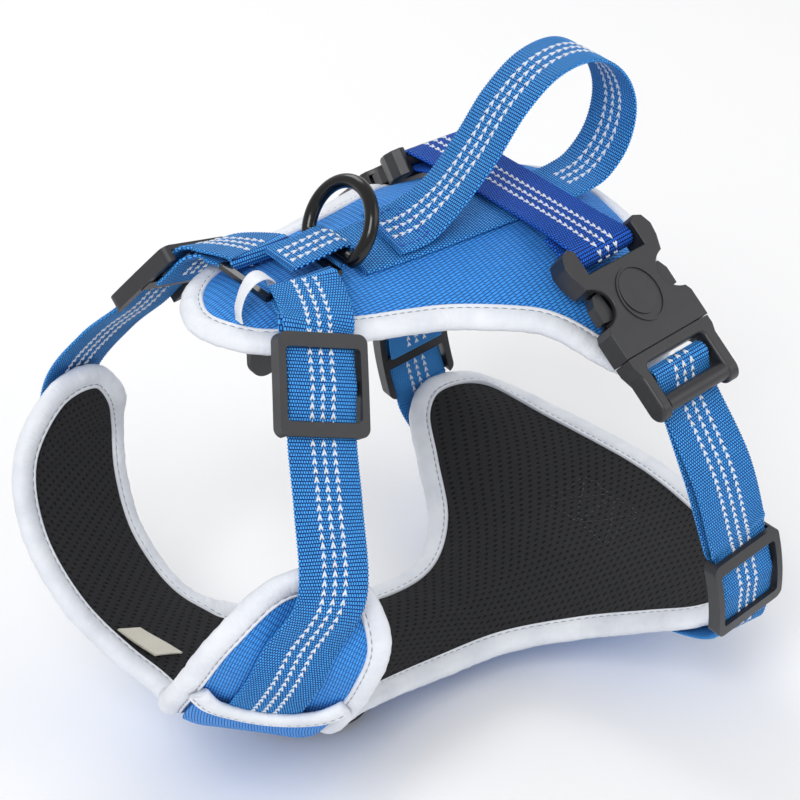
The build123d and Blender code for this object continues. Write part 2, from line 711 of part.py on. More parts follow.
def prong_blank():
    """Sprung prong on the +X side: root, slim arm and a barbed head that fills the notch."""
    with BuildPart() as prong:
        with BuildSketch(Plane.XY.offset(-2.5)):
            with BuildLine():
                Polyline(
                    (9.3, 35.2), (12.7, 35.2), (13.2, 28), (14.2, 23.6), (17.6, 23.2), (17.6, 17),
                    (16, 13.6), (12.6, 13), (12.2, 22), (10, 28), close=True,
                )
            make_face()
        extrude(amount=5)
        fillet(prong.edges().filter_by(Axis.Z), 0.5)
    return prong.part


write_pair(placed(female_blank(), BUCKLE_PLANE), "buckle_female")
write_pair(placed(male_blank(), BUCKLE_PLANE), "buckle_male")
rear_prong = prong_blank()
write_pair(placed(rear_prong, BUCKLE_PLANE), "buckle_prong_rear")
write_pair(placed(mirror(rear_prong, about=Plane.YZ), BUCKLE_PLANE), "buckle_prong_front")

# ---------------------------------------------------------------- girth straps

# The strap turns round the plug's cross bar, leaves under its end bar, runs down in two layers
# to its slide, and its through layer goes on round the wing's edge to be sewn on the wing.
STRAP_TURN = math.radians(12.6)
STRAP_EXIT = math.radians(31)
male_bar = BUCKLE_PLANE.origin + BUCKLE_PLANE.y_dir * MALE_BAR_PLACE
strap_radius = MALE_BAR / 2 + 0.35 + WEB / 2
strap_across = BUCKLE_PLANE.x_dir * -1
strap_way = BUCKLE_PLANE.y_dir * math.cos(STRAP_TURN) - BUCKLE_PLANE.z_dir * math.sin(STRAP_TURN)
strap_out = BUCKLE_PLANE.z_dir * math.cos(STRAP_TURN) + BUCKLE_PLANE.y_dir * math.sin(STRAP_TURN)
end_bar = BUCKLE_PLANE.origin + BUCKLE_PLANE.y_dir * END_BAR[0] + BUCKLE_PLANE.z_dir * END_BAR[1]
exit_out = BUCKLE_PLANE.z_dir * math.cos(STRAP_EXIT) + BUCKLE_PLANE.y_dir * math.sin(STRAP_EXIT)
exit_way = BUCKLE_PLANE.y_dir * math.cos(STRAP_EXIT) - BUCKLE_PLANE.z_dir * math.sin(STRAP_EXIT)
strap_exit = station(end_bar - exit_out * (END_BAR_RADIUS + 0.3 + WEB / 2), strap_across, exit_way)
tilt = Vector(-0.965, -0.02, -0.26)
strap_over = [
    strap_exit,
    station(Vector(65.6, 98, -4), tilt, Vector(0.25, 0.1, -0.96)),
    station(Vector(73.3, 100.2, -31), tilt, Vector(0.26, 0.05, -0.96)),
]
strap_over += along_curve(GIRTH_SLIDER, GIRTH_SLIDER_CURVE, (-SLIDER_REACH, -9, 0, 9, SLIDER_REACH))
strap_over += [
    station(Vector(82.7, 95, -80), Vector(-1, 0, 0), Vector(0, -0.7, -0.7)),
    station(Vector(82.5, 88, -83.4), Vector(-1, 0, -0.08), Vector(0, -0.95, -0.3)),
    station(Vector(82.3, 78, -86.4), Vector(-1, 0, -0.16), Vector(0, -0.95, -0.3)),
    station(Vector(82, 66, -90.4), Vector(-1, 0, -0.2), Vector(0, -0.95, -0.3)),
]
strap_back = [moved(strap_over[0], -1.8), moved(strap_over[1], -5.0), moved(strap_over[2], -4.8)]
strap_back += along_curve(GIRTH_SLIDER, GIRTH_SLIDER_CURVE, (-SLIDER_REACH, -8, 3), UNDER_LIFT)
strap_sections = turned_back(strap_back)
strap_sections += fold_round(male_bar, strap_across, -strap_out, -strap_way, strap_radius)
strap_sections += strap_over

with BuildPart() as girth_strap:
    add(ribbon(strap_sections, [WEB_WIDTH] * len(strap_sections), WEB))
write_pair(girth_strap.part, "girth_strap")
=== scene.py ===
import math
import bpy
import numpy as np
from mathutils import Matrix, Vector, noise


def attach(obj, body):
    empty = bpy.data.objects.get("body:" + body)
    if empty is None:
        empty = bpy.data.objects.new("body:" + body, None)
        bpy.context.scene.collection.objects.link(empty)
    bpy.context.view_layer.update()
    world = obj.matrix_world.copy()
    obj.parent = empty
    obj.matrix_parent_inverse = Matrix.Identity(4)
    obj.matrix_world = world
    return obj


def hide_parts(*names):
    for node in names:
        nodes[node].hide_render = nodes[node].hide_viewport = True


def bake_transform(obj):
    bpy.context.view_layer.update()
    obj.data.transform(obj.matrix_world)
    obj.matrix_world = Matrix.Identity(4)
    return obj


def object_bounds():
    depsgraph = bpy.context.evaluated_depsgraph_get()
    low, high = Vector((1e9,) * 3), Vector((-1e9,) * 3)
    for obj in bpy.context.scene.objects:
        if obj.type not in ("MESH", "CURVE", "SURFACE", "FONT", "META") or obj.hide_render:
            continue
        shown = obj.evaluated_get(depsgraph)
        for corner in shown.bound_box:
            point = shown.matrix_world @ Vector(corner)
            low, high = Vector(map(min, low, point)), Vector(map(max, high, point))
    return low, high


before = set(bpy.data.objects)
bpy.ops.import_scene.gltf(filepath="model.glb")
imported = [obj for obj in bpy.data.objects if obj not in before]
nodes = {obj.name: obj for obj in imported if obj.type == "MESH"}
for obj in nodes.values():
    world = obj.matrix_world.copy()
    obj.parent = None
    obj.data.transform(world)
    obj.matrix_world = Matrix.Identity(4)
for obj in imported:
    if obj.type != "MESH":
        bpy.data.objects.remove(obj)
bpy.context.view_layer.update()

# Lengths in this script are millimetres until a mesh is written, in the frame's own axes:
# head -X, tail +X, dog's right +Y, back +Z.
MM = 0.001
MIRROR = np.array([1, -1, 1])
RIB = 1.15  # from one rib of the webbing to the next
WEB, WIDE = 1.5, 25.0  # the webbing's thickness and width
GAP = 0.35  # between a webbing and what it lies on or turns round

# ---- curves


def unit(v):
    v = np.asarray(v, float)
    return v / np.maximum(np.linalg.norm(v, axis=-1, keepdims=True), 1e-12)


def ease(t):
    t = np.clip(t, 0.0, 1.0)
    return t * t * (3 - 2 * t)


def between(x, start, end, a, b):
    return (end - x) / (end - start) * a + (x - start) / (end - start) * b


def smooth(points, closed=False, per=24):
    """Centripetal curve through points; columns after the third ride along."""
    p = np.array(points, float)
    if closed:
        q = np.vstack([p[-1:], p, p[:2]])
    else:
        q = np.vstack([2 * p[:1] - p[1:2], p, 2 * p[-1:] - p[-2:-1]])
    out = []
    for a, b, c, d in zip(q, q[1:], q[2:], q[3:]):
        t = [0.0]
        legs = ((a, b), (b, c), (c, d))
        for u, v in legs:
            t.append(t[-1] + max(np.linalg.norm((v - u)[:3]), 1e-6) ** 0.5)
        x = np.linspace(t[1], t[2], per, endpoint=False)[:, None]
        ab, bc, cd = (between(x, t[k], t[k + 1], u, v) for k, (u, v) in enumerate(legs))
        abc, bcd = between(x, t[0], t[2], ab, bc), between(x, t[1], t[3], bc, cd)
        out.append(between(x, t[1], t[2], abc, bcd))
    out.append(p[:1] if closed else p[-1:])
    return np.vstack(out)


def lengths(curve):
    return np.concatenate([[0.0], np.cumsum(np.linalg.norm(np.diff(curve[:, :3], axis=0), axis=1))])


def sample(where, run, data):
    """Rows of data that stand at lengths in run, read at other lengths."""
    return np.stack([np.interp(where, run, column) for column in data.T], axis=-1)


def at(curve, where):
    """Points on a curve at the given lengths along it."""
    return sample(np.atleast_1d(where), lengths(curve), curve)


def even(curve, step):
    total = lengths(curve)[-1]
    return at(curve, np.linspace(0, total, max(int(round(total / step)) + 1, 3)))


def nearest(curve, point):
    """Length along a curve of its point nearest to the given one."""
    return lengths(curve)[np.argmin(np.linalg.norm(curve[:, :3] - np.array(point), axis=1))]


# ---- meshes


def new_object(name, data):
    obj = bpy.data.objects.new(name, data)
    bpy.context.scene.collection.objects.link(obj)
    return obj


class Mesh:
    """Collects vertices, faces, a flat coordinate in millimetres and a material number."""

    def __init__(self):
        self.verts, self.flats, self.faces, self.marks = [], [], [], []
        self.count = 0
        self.closing = None

    def add(self, verts, faces, flats=None, mark=0):
        verts = np.asarray(verts, float).reshape(-1, 3)
        if flats is None:
            flats = np.zeros((len(verts), 2))
        self.verts.append(verts)
        self.flats.append(np.asarray(flats, float).reshape(-1, 2))
        self.faces += [[i + self.count for i in face] for face in faces]
        self.marks += [mark] * len(faces)
        self.count += len(verts)

    def build(self, name, materials):
        verts = np.vstack(self.verts) * MM
        flats = np.vstack(self.flats)
        data = bpy.data.meshes.new(name)
        data.from_pydata([tuple(v) for v in verts], [], self.faces)
        layer = data.uv_layers.new(name="UVMap")
        corner = np.zeros(len(data.loops), int)
        data.loops.foreach_get("vertex_index", corner)
        flats = flats[corner]
        if self.closing is not None:
            first_face, row, run = self.closing
            loops = np.arange(4 * first_face, 4 * (first_face + row))
            flats[loops[corner[loops] < row], 1] += run
        layer.data.foreach_set("uv", flats.astype(np.float32).ravel())
        data.polygons.foreach_set("material_index", self.marks)
        data.polygons.foreach_set("use_smooth", [True] * len(self.faces))
        for material in materials:
            data.materials.append(material)
        data.update()
        return new_object(name, data)


def grid_faces(rows, columns, close=False):
    faces = []
    for i in range(rows - 1):
        for j in range(columns if close else columns - 1):
            k = (j + 1) % columns
            faces.append([i * columns + j, i * columns + k, (i + 1) * columns + k, (i + 1) * columns + j])
    return faces


# ---- materials


def rgb(r, g, b):
    """Linear colour of a display colour given in 0 to 255."""
    out = []
    for c in (r, g, b):
        c = c / 255
        out.append(c / 12.92 if c <= 0.04045 else ((c + 0.055) / 1.055) ** 2.4)
    return (*out, 1.0)


class Shader:
    """A material under construction, with short names for its nodes."""

    def __init__(self, name, rough, **sockets):
        self.material = bpy.data.materials.new(name)
        self.material.use_nodes = True
        self.tree = self.material.node_tree
        self.tree.nodes.clear()
        out = self.node("ShaderNodeOutputMaterial")
        self.bsdf = self.node("ShaderNodeBsdfPrincipled", Roughness=rough, **sockets)
        self.feed(out.inputs[0], self.bsdf.outputs[0])

    def feed(self, socket, value):
        """Links the socket to another node's output, or gives it a constant."""
        if isinstance(value, bpy.types.NodeSocket):
            self.tree.links.new(value, socket)
        else:
            socket.default_value = value

    def node(self, kind, **inputs):
        node = self.tree.nodes.new(kind)
        for key, value in inputs.items():
            self.feed(node.inputs[key.replace("_", " ")], value)
        return node

    def flat(self, turn=0.0, stretch=(1, 1, 1)):
        """The sewn pattern's own coordinate, in millimetres, turned by some degrees."""
        uv = self.node("ShaderNodeUVMap")
        uv.uv_map = "UVMap"
        turned = (0, 0, math.radians(turn))
        move = self.node("ShaderNodeMapping", Vector=uv.outputs[0], Rotation=turned, Scale=stretch)
        return move.outputs[0]

    def slanted(self, turn, lean):
        """The flat coordinate, turned, with its columns leaning over."""
        parts = self.node("ShaderNodeSeparateXYZ", Vector=self.flat(turn=turn))
        across = self.math("ADD", parts.outputs[0], self.math("MULTIPLY", parts.outputs[1], lean))
        return self.node("ShaderNodeCombineXYZ", X=across, Y=parts.outputs[1]).outputs[0]

    def space(self):
        return self.node("ShaderNodeTexCoord").outputs["Object"]

    def math(self, operation, *values):
        node = self.node("ShaderNodeMath")
        node.operation = operation
        for socket, value in zip(node.inputs, values):
            self.feed(socket, value)
        return node.outputs[0]

    def bricks(self, coordinate, width, height, gap):
        """Staggered cells of a weave: their height, and a colour that differs from cell to cell."""
        node = self.node(
            "ShaderNodeTexBrick", Vector=coordinate, Scale=1.0, Brick_Width=width, Row_Height=height,
            Mortar_Size=gap, Mortar_Smooth=1.0, Color1=(0.8, 0.8, 0.8, 1), Color2=(1, 1, 1, 1),
        )
        node.offset = 0.5
        return self.math("SUBTRACT", 1.0, node.outputs["Fac"]), node.outputs["Color"]

    def noise(self, coordinate, scale, detail=3.0):
        kind = "ShaderNodeTexNoise"
        return self.node(kind, Vector=coordinate, Scale=scale, Detail=detail, Roughness=0.55).outputs["Fac"]

    def ramp(self, value, low, high, start, end):
        """Colour from low to high as the value goes from start to end."""
        node = self.node("ShaderNodeValToRGB", Fac=value)
        for element, place, colour in zip(node.color_ramp.elements, (start, end), (low, high)):
            element.position = place
            element.color = colour
        return node.outputs["Color"]

    def mix(self, factor, a, b, kind="MIX"):
        node = self.node("ShaderNodeMix")
        node.data_type = "RGBA"
        node.blend_type = kind
        for number, value in ((0, factor), (6, a), (7, b)):
            self.feed(node.inputs[number], value)
        return node.outputs[2]

    def colour(self, value):
        self.feed(self.bsdf.inputs["Base Color"], value)

    def bump(self, height, depth, under=None):
        """Surface relief of the given depth in millimetres."""
        node = self.node("ShaderNodeBump", Height=height, Strength=1.0, Distance=depth * MM)
        if under is not None:
            self.feed(node.inputs["Normal"], under)
        return node.outputs["Normal"]

    def finish(self, normal=None):
        if normal is not None:
            self.feed(self.bsdf.inputs["Normal"], normal)
        return self.material


def webbing_material(name, low, high):
    """Woven tape: each rib across it is broken into grains by the warp threads."""
    s = Shader(name, 0.55, Sheen_Weight=0.02, Sheen_Roughness=0.35, Specular_IOR_Level=0.2)
    threads, tint = s.bricks(s.flat(), 0.9, RIB, 0.24)
    # Painted shade and highlight: the gaps between the thread cells get the dark colour, the tops of the
    # cells the pale one.
    shade = s.ramp(threads, low, high, 0.15, 0.95)
    shade = s.mix(0.75, shade, tint, "MULTIPLY")
    wear = s.ramp(s.noise(s.space(), 60.0), (0.86, 0.9, 0.95, 1), (1, 1, 1, 1), 0.35, 0.65)
    s.colour(s.mix(0.7, shade, wear, "MULTIPLY"))
    relief = s.bump(s.noise(s.flat(), 2.2, 2.0), 0.08)
    return s.finish(s.bump(threads, 0.3, relief))


def cloth_material(name):
    """Padded blue cloth with a fine broken rib that runs across the panel at a slant."""
    s = Shader(name, 0.68, Sheen_Weight=0.06, Sheen_Roughness=0.5, Specular_IOR_Level=0.3)
    dashes, tint = s.bricks(s.slanted(-8, 0.9), 2.3, 1.1, 0.22)
    # Painted shade and highlight: dark in the gaps between the dashes, pale on their tops.
    shade = s.ramp(dashes, rgb(0, 82, 206), rgb(62, 164, 255), 0.05, 0.9)
    shade = s.mix(0.5, shade, tint, "MULTIPLY")
    patches = s.ramp(s.noise(s.space(), 45.0), (0.9, 0.92, 0.95, 1), (1, 1, 1, 1), 0.35, 0.65)
    s.colour(s.mix(0.8, shade, patches, "MULTIPLY"))
    fine = s.bump(s.noise(s.flat(), 3.5, 3.0), 0.12)
    return s.finish(s.bump(dashes, 0.4, fine))


def mesh_material(name):
    """Black air mesh: oval holes in staggered rows over a fine knit."""
    s = Shader(name, 0.9, Sheen_Weight=0.05, Sheen_Roughness=0.6, Specular_IOR_Level=0.2)
    pitch, drop, oval = 3.4, 2.6, 1.4
    parts = s.node("ShaderNodeSeparateXYZ", Vector=s.flat(turn=8))
    row = s.math("DIVIDE", parts.outputs[1], drop)
    shift = s.math("MULTIPLY", s.math("FLOOR", row), 0.5)
    across = s.math("ADD", s.math("DIVIDE", parts.outputs[0], pitch), shift)
    dx = s.math("MULTIPLY", s.math("SUBTRACT", s.math("FRACT", across), 0.5), pitch * oval)
    dy = s.math("MULTIPLY", s.math("SUBTRACT", s.math("FRACT", row), 0.5), drop)
    apart = s.math("SQRT", s.math("ADD", s.math("MULTIPLY", dx, dx), s.math("MULTIPLY", dy, dy)))
    solid = s.node("ShaderNodeMapRange", Value=apart, From_Min=0.55, From_Max=0.95)
    solid.interpolation_type = "SMOOTHSTEP"
    knit, _ = s.bricks(s.flat(turn=52), 0.8, 0.5, 0.1)
    # Painted shade: the knit is darker in its gaps, and the holes are near black, painted shade in their
    # depth over the mesh's own black.
    surface = s.ramp(knit, rgb(12, 12, 14), rgb(44, 44, 48), 0.0, 0.9)
    s.colour(s.mix(solid.outputs[0], rgb(2, 2, 2), surface))
    fine = s.bump(knit, 0.14)
    return s.finish(s.bump(solid.outputs[0], 0.7, fine))


def tape_material(name):
    """Pale grey reflective tape: smooth, with a faint twill and small creases."""
    s = Shader(name, 0.42, Sheen_Weight=0.15, Sheen_Roughness=0.4)
    twill, _ = s.bricks(s.flat(turn=40), 1.0, 0.45, 0.08)
    s.colour(s.ramp(s.noise(s.space(), 60.0, 4.0), rgb(220, 224, 233), rgb(240, 243, 249), 0.3, 0.7))
    creases = s.bump(s.noise(s.flat(stretch=(0.3, 1, 1)), 0.55, 4.0), 0.5)
    return s.finish(s.bump(twill, 0.05, creases))


def moulded_material(name, shade, rough):
    """Matt moulded plastic with a fine spark-eroded grain."""
    s = Shader(name, rough, Specular_IOR_Level=0.6)
    grain = s.noise(s.space(), 3800.0, 2.0)
    pale = tuple(min(c * 1.3, 1) for c in shade)
    s.colour(s.ramp(s.noise(s.space(), 300.0, 4.0), shade, pale, 0.3, 0.7))
    patches = s.noise(s.space(), 150.0, 4.0)
    rub = s.node("ShaderNodeMapRange", Value=patches, To_Min=rough - 0.07, To_Max=rough + 0.1)
    s.feed(s.bsdf.inputs["Roughness"], rub.outputs[0])
    return s.finish(s.bump(grain, 0.035))


def painted_material(name):
    """Gloss black paint on steel, a little uneven."""
    s = Shader(name, 0.16, Specular_IOR_Level=0.45)
    s.colour(rgb(9, 9, 10))
    return s.finish(s.bump(s.noise(s.space(), 420.0, 3.0), 0.03))


def thread_material(name, shade):
    s = Shader(name, 0.5, Sheen_Weight=0.2)
    dark = tuple(c * 0.8 for c in shade[:3]) + (1,)
    s.colour(s.ramp(s.noise(s.space(), 900.0), dark, shade, 0.3, 0.7))
    return s.finish(s.bump(s.noise(s.space(), 2600.0), 0.05))


def label_material(name):
    """Cream ribbon with a fine weave."""
    s = Shader(name, 0.7, Sheen_Weight=0.2)
    weave, _ = s.bricks(s.flat(), 0.5, 0.3, 0.05)
    # Painted shade: the weave is darker in the gaps between its threads.
    s.colour(s.ramp(weave, rgb(196, 190, 172), rgb(232, 228, 214), 0.0, 0.8))
    return s.finish(s.bump(weave, 0.06))


# Each webbing's pale colour is a painted highlight for the crests of its ribs, and its dark colour is
# painted shade for the gaps between threads.
AZURE = webbing_material("azure_webbing", rgb(0, 66, 196), rgb(78, 176, 255))
DEEP = webbing_material("deep_webbing", rgb(0, 24, 112), rgb(30, 112, 236))
BLACK_WEB = webbing_material("black_webbing", rgb(12, 12, 14), rgb(44, 44, 48))
CLOTH = cloth_material("ribbed_cloth")
AIR_MESH = mesh_material("air_mesh")
TAPE = tape_material("reflective_tape")
PLASTIC = moulded_material("matt_plastic", rgb(33, 33, 36), 0.4)
PAINT = painted_material("gloss_paint")
YARN = thread_material("pale_yarn", rgb(232, 238, 248))
GREY_THREAD = thread_material("grey_thread", rgb(150, 154, 164))
BLUE_THREAD = thread_material("blue_thread", rgb(16, 84, 190))
BLACK_THREAD = thread_material("black_thread", rgb(8, 8, 9))
LABEL = label_material("woven_label")
WEB_PAIR = [AZURE, YARN]


# ---- bands and stitches


class Band:
    """A webbing's middle line with the directions across it and out of it."""

    def __init__(self, stations, outward=None):
        dense = smooth([np.concatenate([c, a]) for c, a in stations], per=24)
        curve = even(dense, RIB / 2)
        self.centre = curve[:, :3]
        way = unit(np.gradient(self.centre, axis=0))
        across = unit(curve[:, 3:6])
        self.out = unit(np.cross(way, across))
        if outward is not None and np.dot(self.out[0], outward) < 0:
            self.out = -self.out
        self.across = unit(across - way * np.sum(across * way, axis=1, keepdims=True))
        self.length = lengths(self.centre)

    def point(self, u, v, lift=0.0):
        """Position at u across and v along, lifted out of the band."""
        c, a, o = (sample(v, self.length, data) for data in (self.centre, self.across, self.out))
        a, o = unit(a), unit(o)
        return c + a * u + o * lift, a, o


def tape_profile(width, thick):
    """Closed section of a woven tape, with soft edges."""
    half, high = width / 2, thick / 2
    side = [(half - 0.15, high * 0.55), (half - 0.7, high)]
    top = [(u, high) for u in np.linspace(half - 2.5, -half + 2.5, 8)]
    face = side + top + [(-u, n) for u, n in side[::-1]]
    return np.array([(half, 0)] + face + [(-half, 0)] + [(-u, -n) for u, n in face])


CHEVRON = [(0, 1.4), (0.85, -1.0), (0.5, -1.3), (0, -0.4)]  # half of one, as (across, along)
CHEVRON_PITCH = 3.0
VALLEY = 0.66  # thickness between two ribs, as a share of that on a rib
CHEVRON_ROWS = (-3.8, 0.0, 3.8)


def band_piece(
    name, band, width, thick, materials,
    rows=CHEVRON_ROWS, ends=(1.5, 1.5), sides=(1, -1), drape=None, turned_until=0.0,
):
    """A length of ribbed webbing with its rows of woven pale chevrons.

    The chevrons keep clear of the ends, and point the other way up to turned_until.
    """
    section = tape_profile(width, thick)
    count, size = len(band.length), len(section)
    rib = np.where(np.arange(count) % 2 == 0, 1.0, VALLEY)[:, None]
    u = section[None, :, 0] * (1 + 0.012 * (rib - 0.86) / 0.14)
    n = section[None, :, 1] * rib
    u = u + 0.15 * np.array([noise.noise(Vector((v * 0.06, 3.1, width))) for v in band.length])[:, None]
    if drape is not None:
        n = n + np.array([[drape(c, x) for x in section[:, 0]] for c in band.centre])
    verts = band.centre[:, None] + band.across[:, None] * u[..., None] + band.out[:, None] * n[..., None]
    run = (np.arange(count) + 1) * RIB / 2
    flats = np.stack(np.broadcast_arrays(section[None, :, 0], run[:, None]), axis=2)
    faces = grid_faces(count, size, close=True)
    half = size // 2
    for start, flip in ((0, False), ((count - 1) * size, True)):
        for j in range(half):
            around = dict.fromkeys([j, j + 1, (size - j - 1) % size, (size - j) % size])
            face = [start + k for k in around]
            if len(set(face)) > 2:
                faces.append(face[::-1] if flip else face)
    mesh = Mesh()
    mesh.add(verts.reshape(-1, 3), faces, flats.reshape(-1, 2))
    for side in sides:
        for row in rows:
            v = ends[0] + 2
            while v < band.length[-1] - ends[1] - 2:
                spot, across, out = band.point(row, v)
                sag = 0.0 if drape is None else drape(spot, row)
                turned = -1 if v < turned_until else 1
                way = unit(np.cross(across, out)) * side * turned
                for hand in (1, -1):
                    low, top = [], []
                    for x, y in CHEVRON:
                        foot = spot + across * x * hand + way * y + out * sag
                        low.append(foot + out * side * (thick / 2 - 0.25))
                        top.append(foot + out * side * (thick / 2 + 0.2) - way * 0.08 * y)
                    walls = [[i, (i + 1) % 4, (i + 1) % 4 + 4, i + 4] for i in range(4)]
                    part = walls + [[4, 5, 6, 7]]
                    if hand * side * turned < 0:
                        part = [f[::-1] for f in part]
                    mesh.add(low + top, part, mark=1)
                v += CHEVRON_PITCH
    return mesh.build(name, materials)


def stitches(mesh, points, outs, length=2.3, gap=0.8, radius=0.24, mark=0):
    """A row of thread stitches along a line that lies on a surface."""
    points, outs = np.asarray(points, float), np.asarray(outs, float)
    s = lengths(points)
    v = gap
    while v + length < s[-1]:
        where = np.linspace(v, v + length, 4)
        p, o = sample(where, s, points), unit(sample(where, s, outs))
        way = unit(np.gradient(p, axis=0))
        side = unit(np.cross(way, o))
        lift = np.array([-0.25, 0.75, 0.75, -0.25]) * radius - 0.05
        verts, flats = [], []
        for k in range(4):
            size = radius * (0.45 if k in (0, 3) else 1.0)
            for j in range(6):
                turn = j * math.pi / 3
                rise = o[k] * (lift[k] + size * math.sin(turn))
                verts.append(p[k] + rise + side[k] * size * math.cos(turn))
                flats.append((j, where[k]))
        faces = grid_faces(4, 6, close=True) + [[5, 4, 3, 2, 1, 0], [18, 19, 20, 21, 22, 23]]
        mesh.add(verts, faces, flats, mark)
        v += length + gap


def crossed(corners):
    """Sides and diagonals of a sewn box, as pairs of its corners."""
    sides = list(zip(corners, corners[1:] + corners[:1]))
    return sides + [(corners[0], corners[2]), (corners[1], corners[3])]


def crossed_box(v0, v1):
    """The seams of a box sewn into a webbing from length v0 to v1."""
    half = 9.0
    return crossed([(-half, v0), (half, v0), (half, v1), (-half, v1)])


def sew(name, band, seams):
    """Thread sewn into a band along seams from one (across, along) point to another."""
    mesh = Mesh()
    for (u0, v0), (u1, v1) in seams:
        run = np.linspace(0, 1, 12)
        spots = [band.point(u0 + (u1 - u0) * t, v0 + (v1 - v0) * t, WEB / 2) for t in run]
        stitches(mesh, [spot for spot, _, _ in spots], [out for _, _, out in spots])
    obj = mesh.build(name, [BLUE_THREAD])
    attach(obj, "base")


# ---- back panel surface

BACK_OUTLINE = [
    (-81, 7), (-75, 17), (-64, 25), (-38, 30), (-5, 33), (20, 46),
    (42, 62), (56, 66), (70, 60), (81, 43), (88, 25), (91, 8),
]


def back_height(x, y):
    rear = ease((x + 15) / 55)
    spine = 64.5 - 2 * ease((x + 10) / 50)
    spine = spine - 11.5 * np.maximum((x - 58) / 33, 0) ** 2 - 5 * np.maximum((-x - 45) / 37, 0) ** 2
    arch = 0.0071 - 0.0056 * rear + 0.004 * np.clip((x - 58) / 33, 0, 1)
    roll = 0.03 + 0.19 * np.exp(-(((x + 5) / 28) ** 2)) + 0.06 * ease((x - 62) / 12)
    return spine - arch * y**2 - 1.5e-6 * rear * y**4 + roll * y


def back_slope(x):
    """The back's slope to the right, on its middle line."""
    return float(back_height(x, 0.5) - back_height(x, -0.5))


def coons(bottom, top, left, right):
    """Grid between four edges; left and right run from bottom to top."""
    rows, columns = len(left), len(bottom)
    u = np.linspace(0, 1, columns)[None, :, None]
    v = np.linspace(0, 1, rows)[:, None, None]
    sides = (1 - u) * left[:, None] + u * right[:, None]
    ends = (1 - v) * bottom[None] + v * top[None]
    corners = (1 - u) * (1 - v) * bottom[0] + u * (1 - v) * bottom[-1]
    corners = corners + (1 - u) * v * top[0] + u * v * top[-1]
    return sides + ends - corners


def back_grid():
    right = [(-82.4, 0)] + BACK_OUTLINE + [(91.9, 0)]
    loop = right + [(x, -y) for x, y in right[-2:0:-1]]
    rim = smooth([(x, y, 0) for x, y in loop], closed=True, per=20)
    total = lengths(rim)[-1]
    marks = [nearest(rim, p) for p in ((-73, 19, 0), (79, 47, 0), (79, -47, 0), (-73, -19, 0))]
    rows, columns = 74, 44
    right_edge = at(rim, np.linspace(marks[0], marks[1], rows))
    rear = at(rim, np.linspace(marks[1], marks[2], columns))[::-1]
    left_edge = at(rim, np.linspace(marks[2], marks[3], rows))[::-1]
    wrapped = np.vstack([rim[:-1], rim])
    front = at(wrapped, np.linspace(marks[3], total + marks[0], columns))
    grid = coons(front, rear, left_edge, right_edge)
    grid[:, :, 2] = back_height(grid[:, :, 0], grid[:, :, 1])
    return grid


# ---- chest panel surface

CHEST_RIM = [
    (-103, 0, -85), (-105, 6, -82), (-111, 15, -75), (-121, 32, -58), (-125, 51, -35), (-119, 64, -12),
    (-100, 71, 5), (-80, 77, 3), (-71, 78, -9), (-69, 84, -25), (-72, 79, -45), (-73, 66, -66),
    (-64, 46, -87), (-40, 33, -97), (0, 27, -105), (30, 29, -106), (50, 44, -100), (62, 67, -88),
    (72, 86, -78), (83, 93, -73), (100, 92, -74), (110, 84, -77), (119, 54, -79), (126, 16, -80),
    (127, 0, -80),
]
ARM_EDGES = [
    ((-50, 0, -109.6), (-103, 0, -85)), ((-54, 24, -102), (-105, 6, -82)),
    ((-63, 43, -88), (-111, 15, -75)), ((-73, 65, -67), (-121, 32, -58)),
    ((-72, 79, -45), (-125, 51, -35)), ((-69, 83, -22), (-119, 64, -12)),
    ((-74, 77.6, -3), (-107, 69, 0)),
]
MIDDLE = [
    (-50, -109.6), (-38, -109.5), (0, -108), (30, -107), (50, -103.5), (62, -100), (72, -96.5),
    (84, -93), (98, -88.5), (110, -85), (119, -82), (127, -80),
]
ARM_COLUMNS, MIDDLE_COLUMNS, ARM_ROWS, BELLY_ROWS = 44, 22, 20, 84


def mirrored(block):
    """The right block joined to its mirror image, which comes first."""
    return np.concatenate([block[:, :0:-1] * MIRROR, block], axis=1)


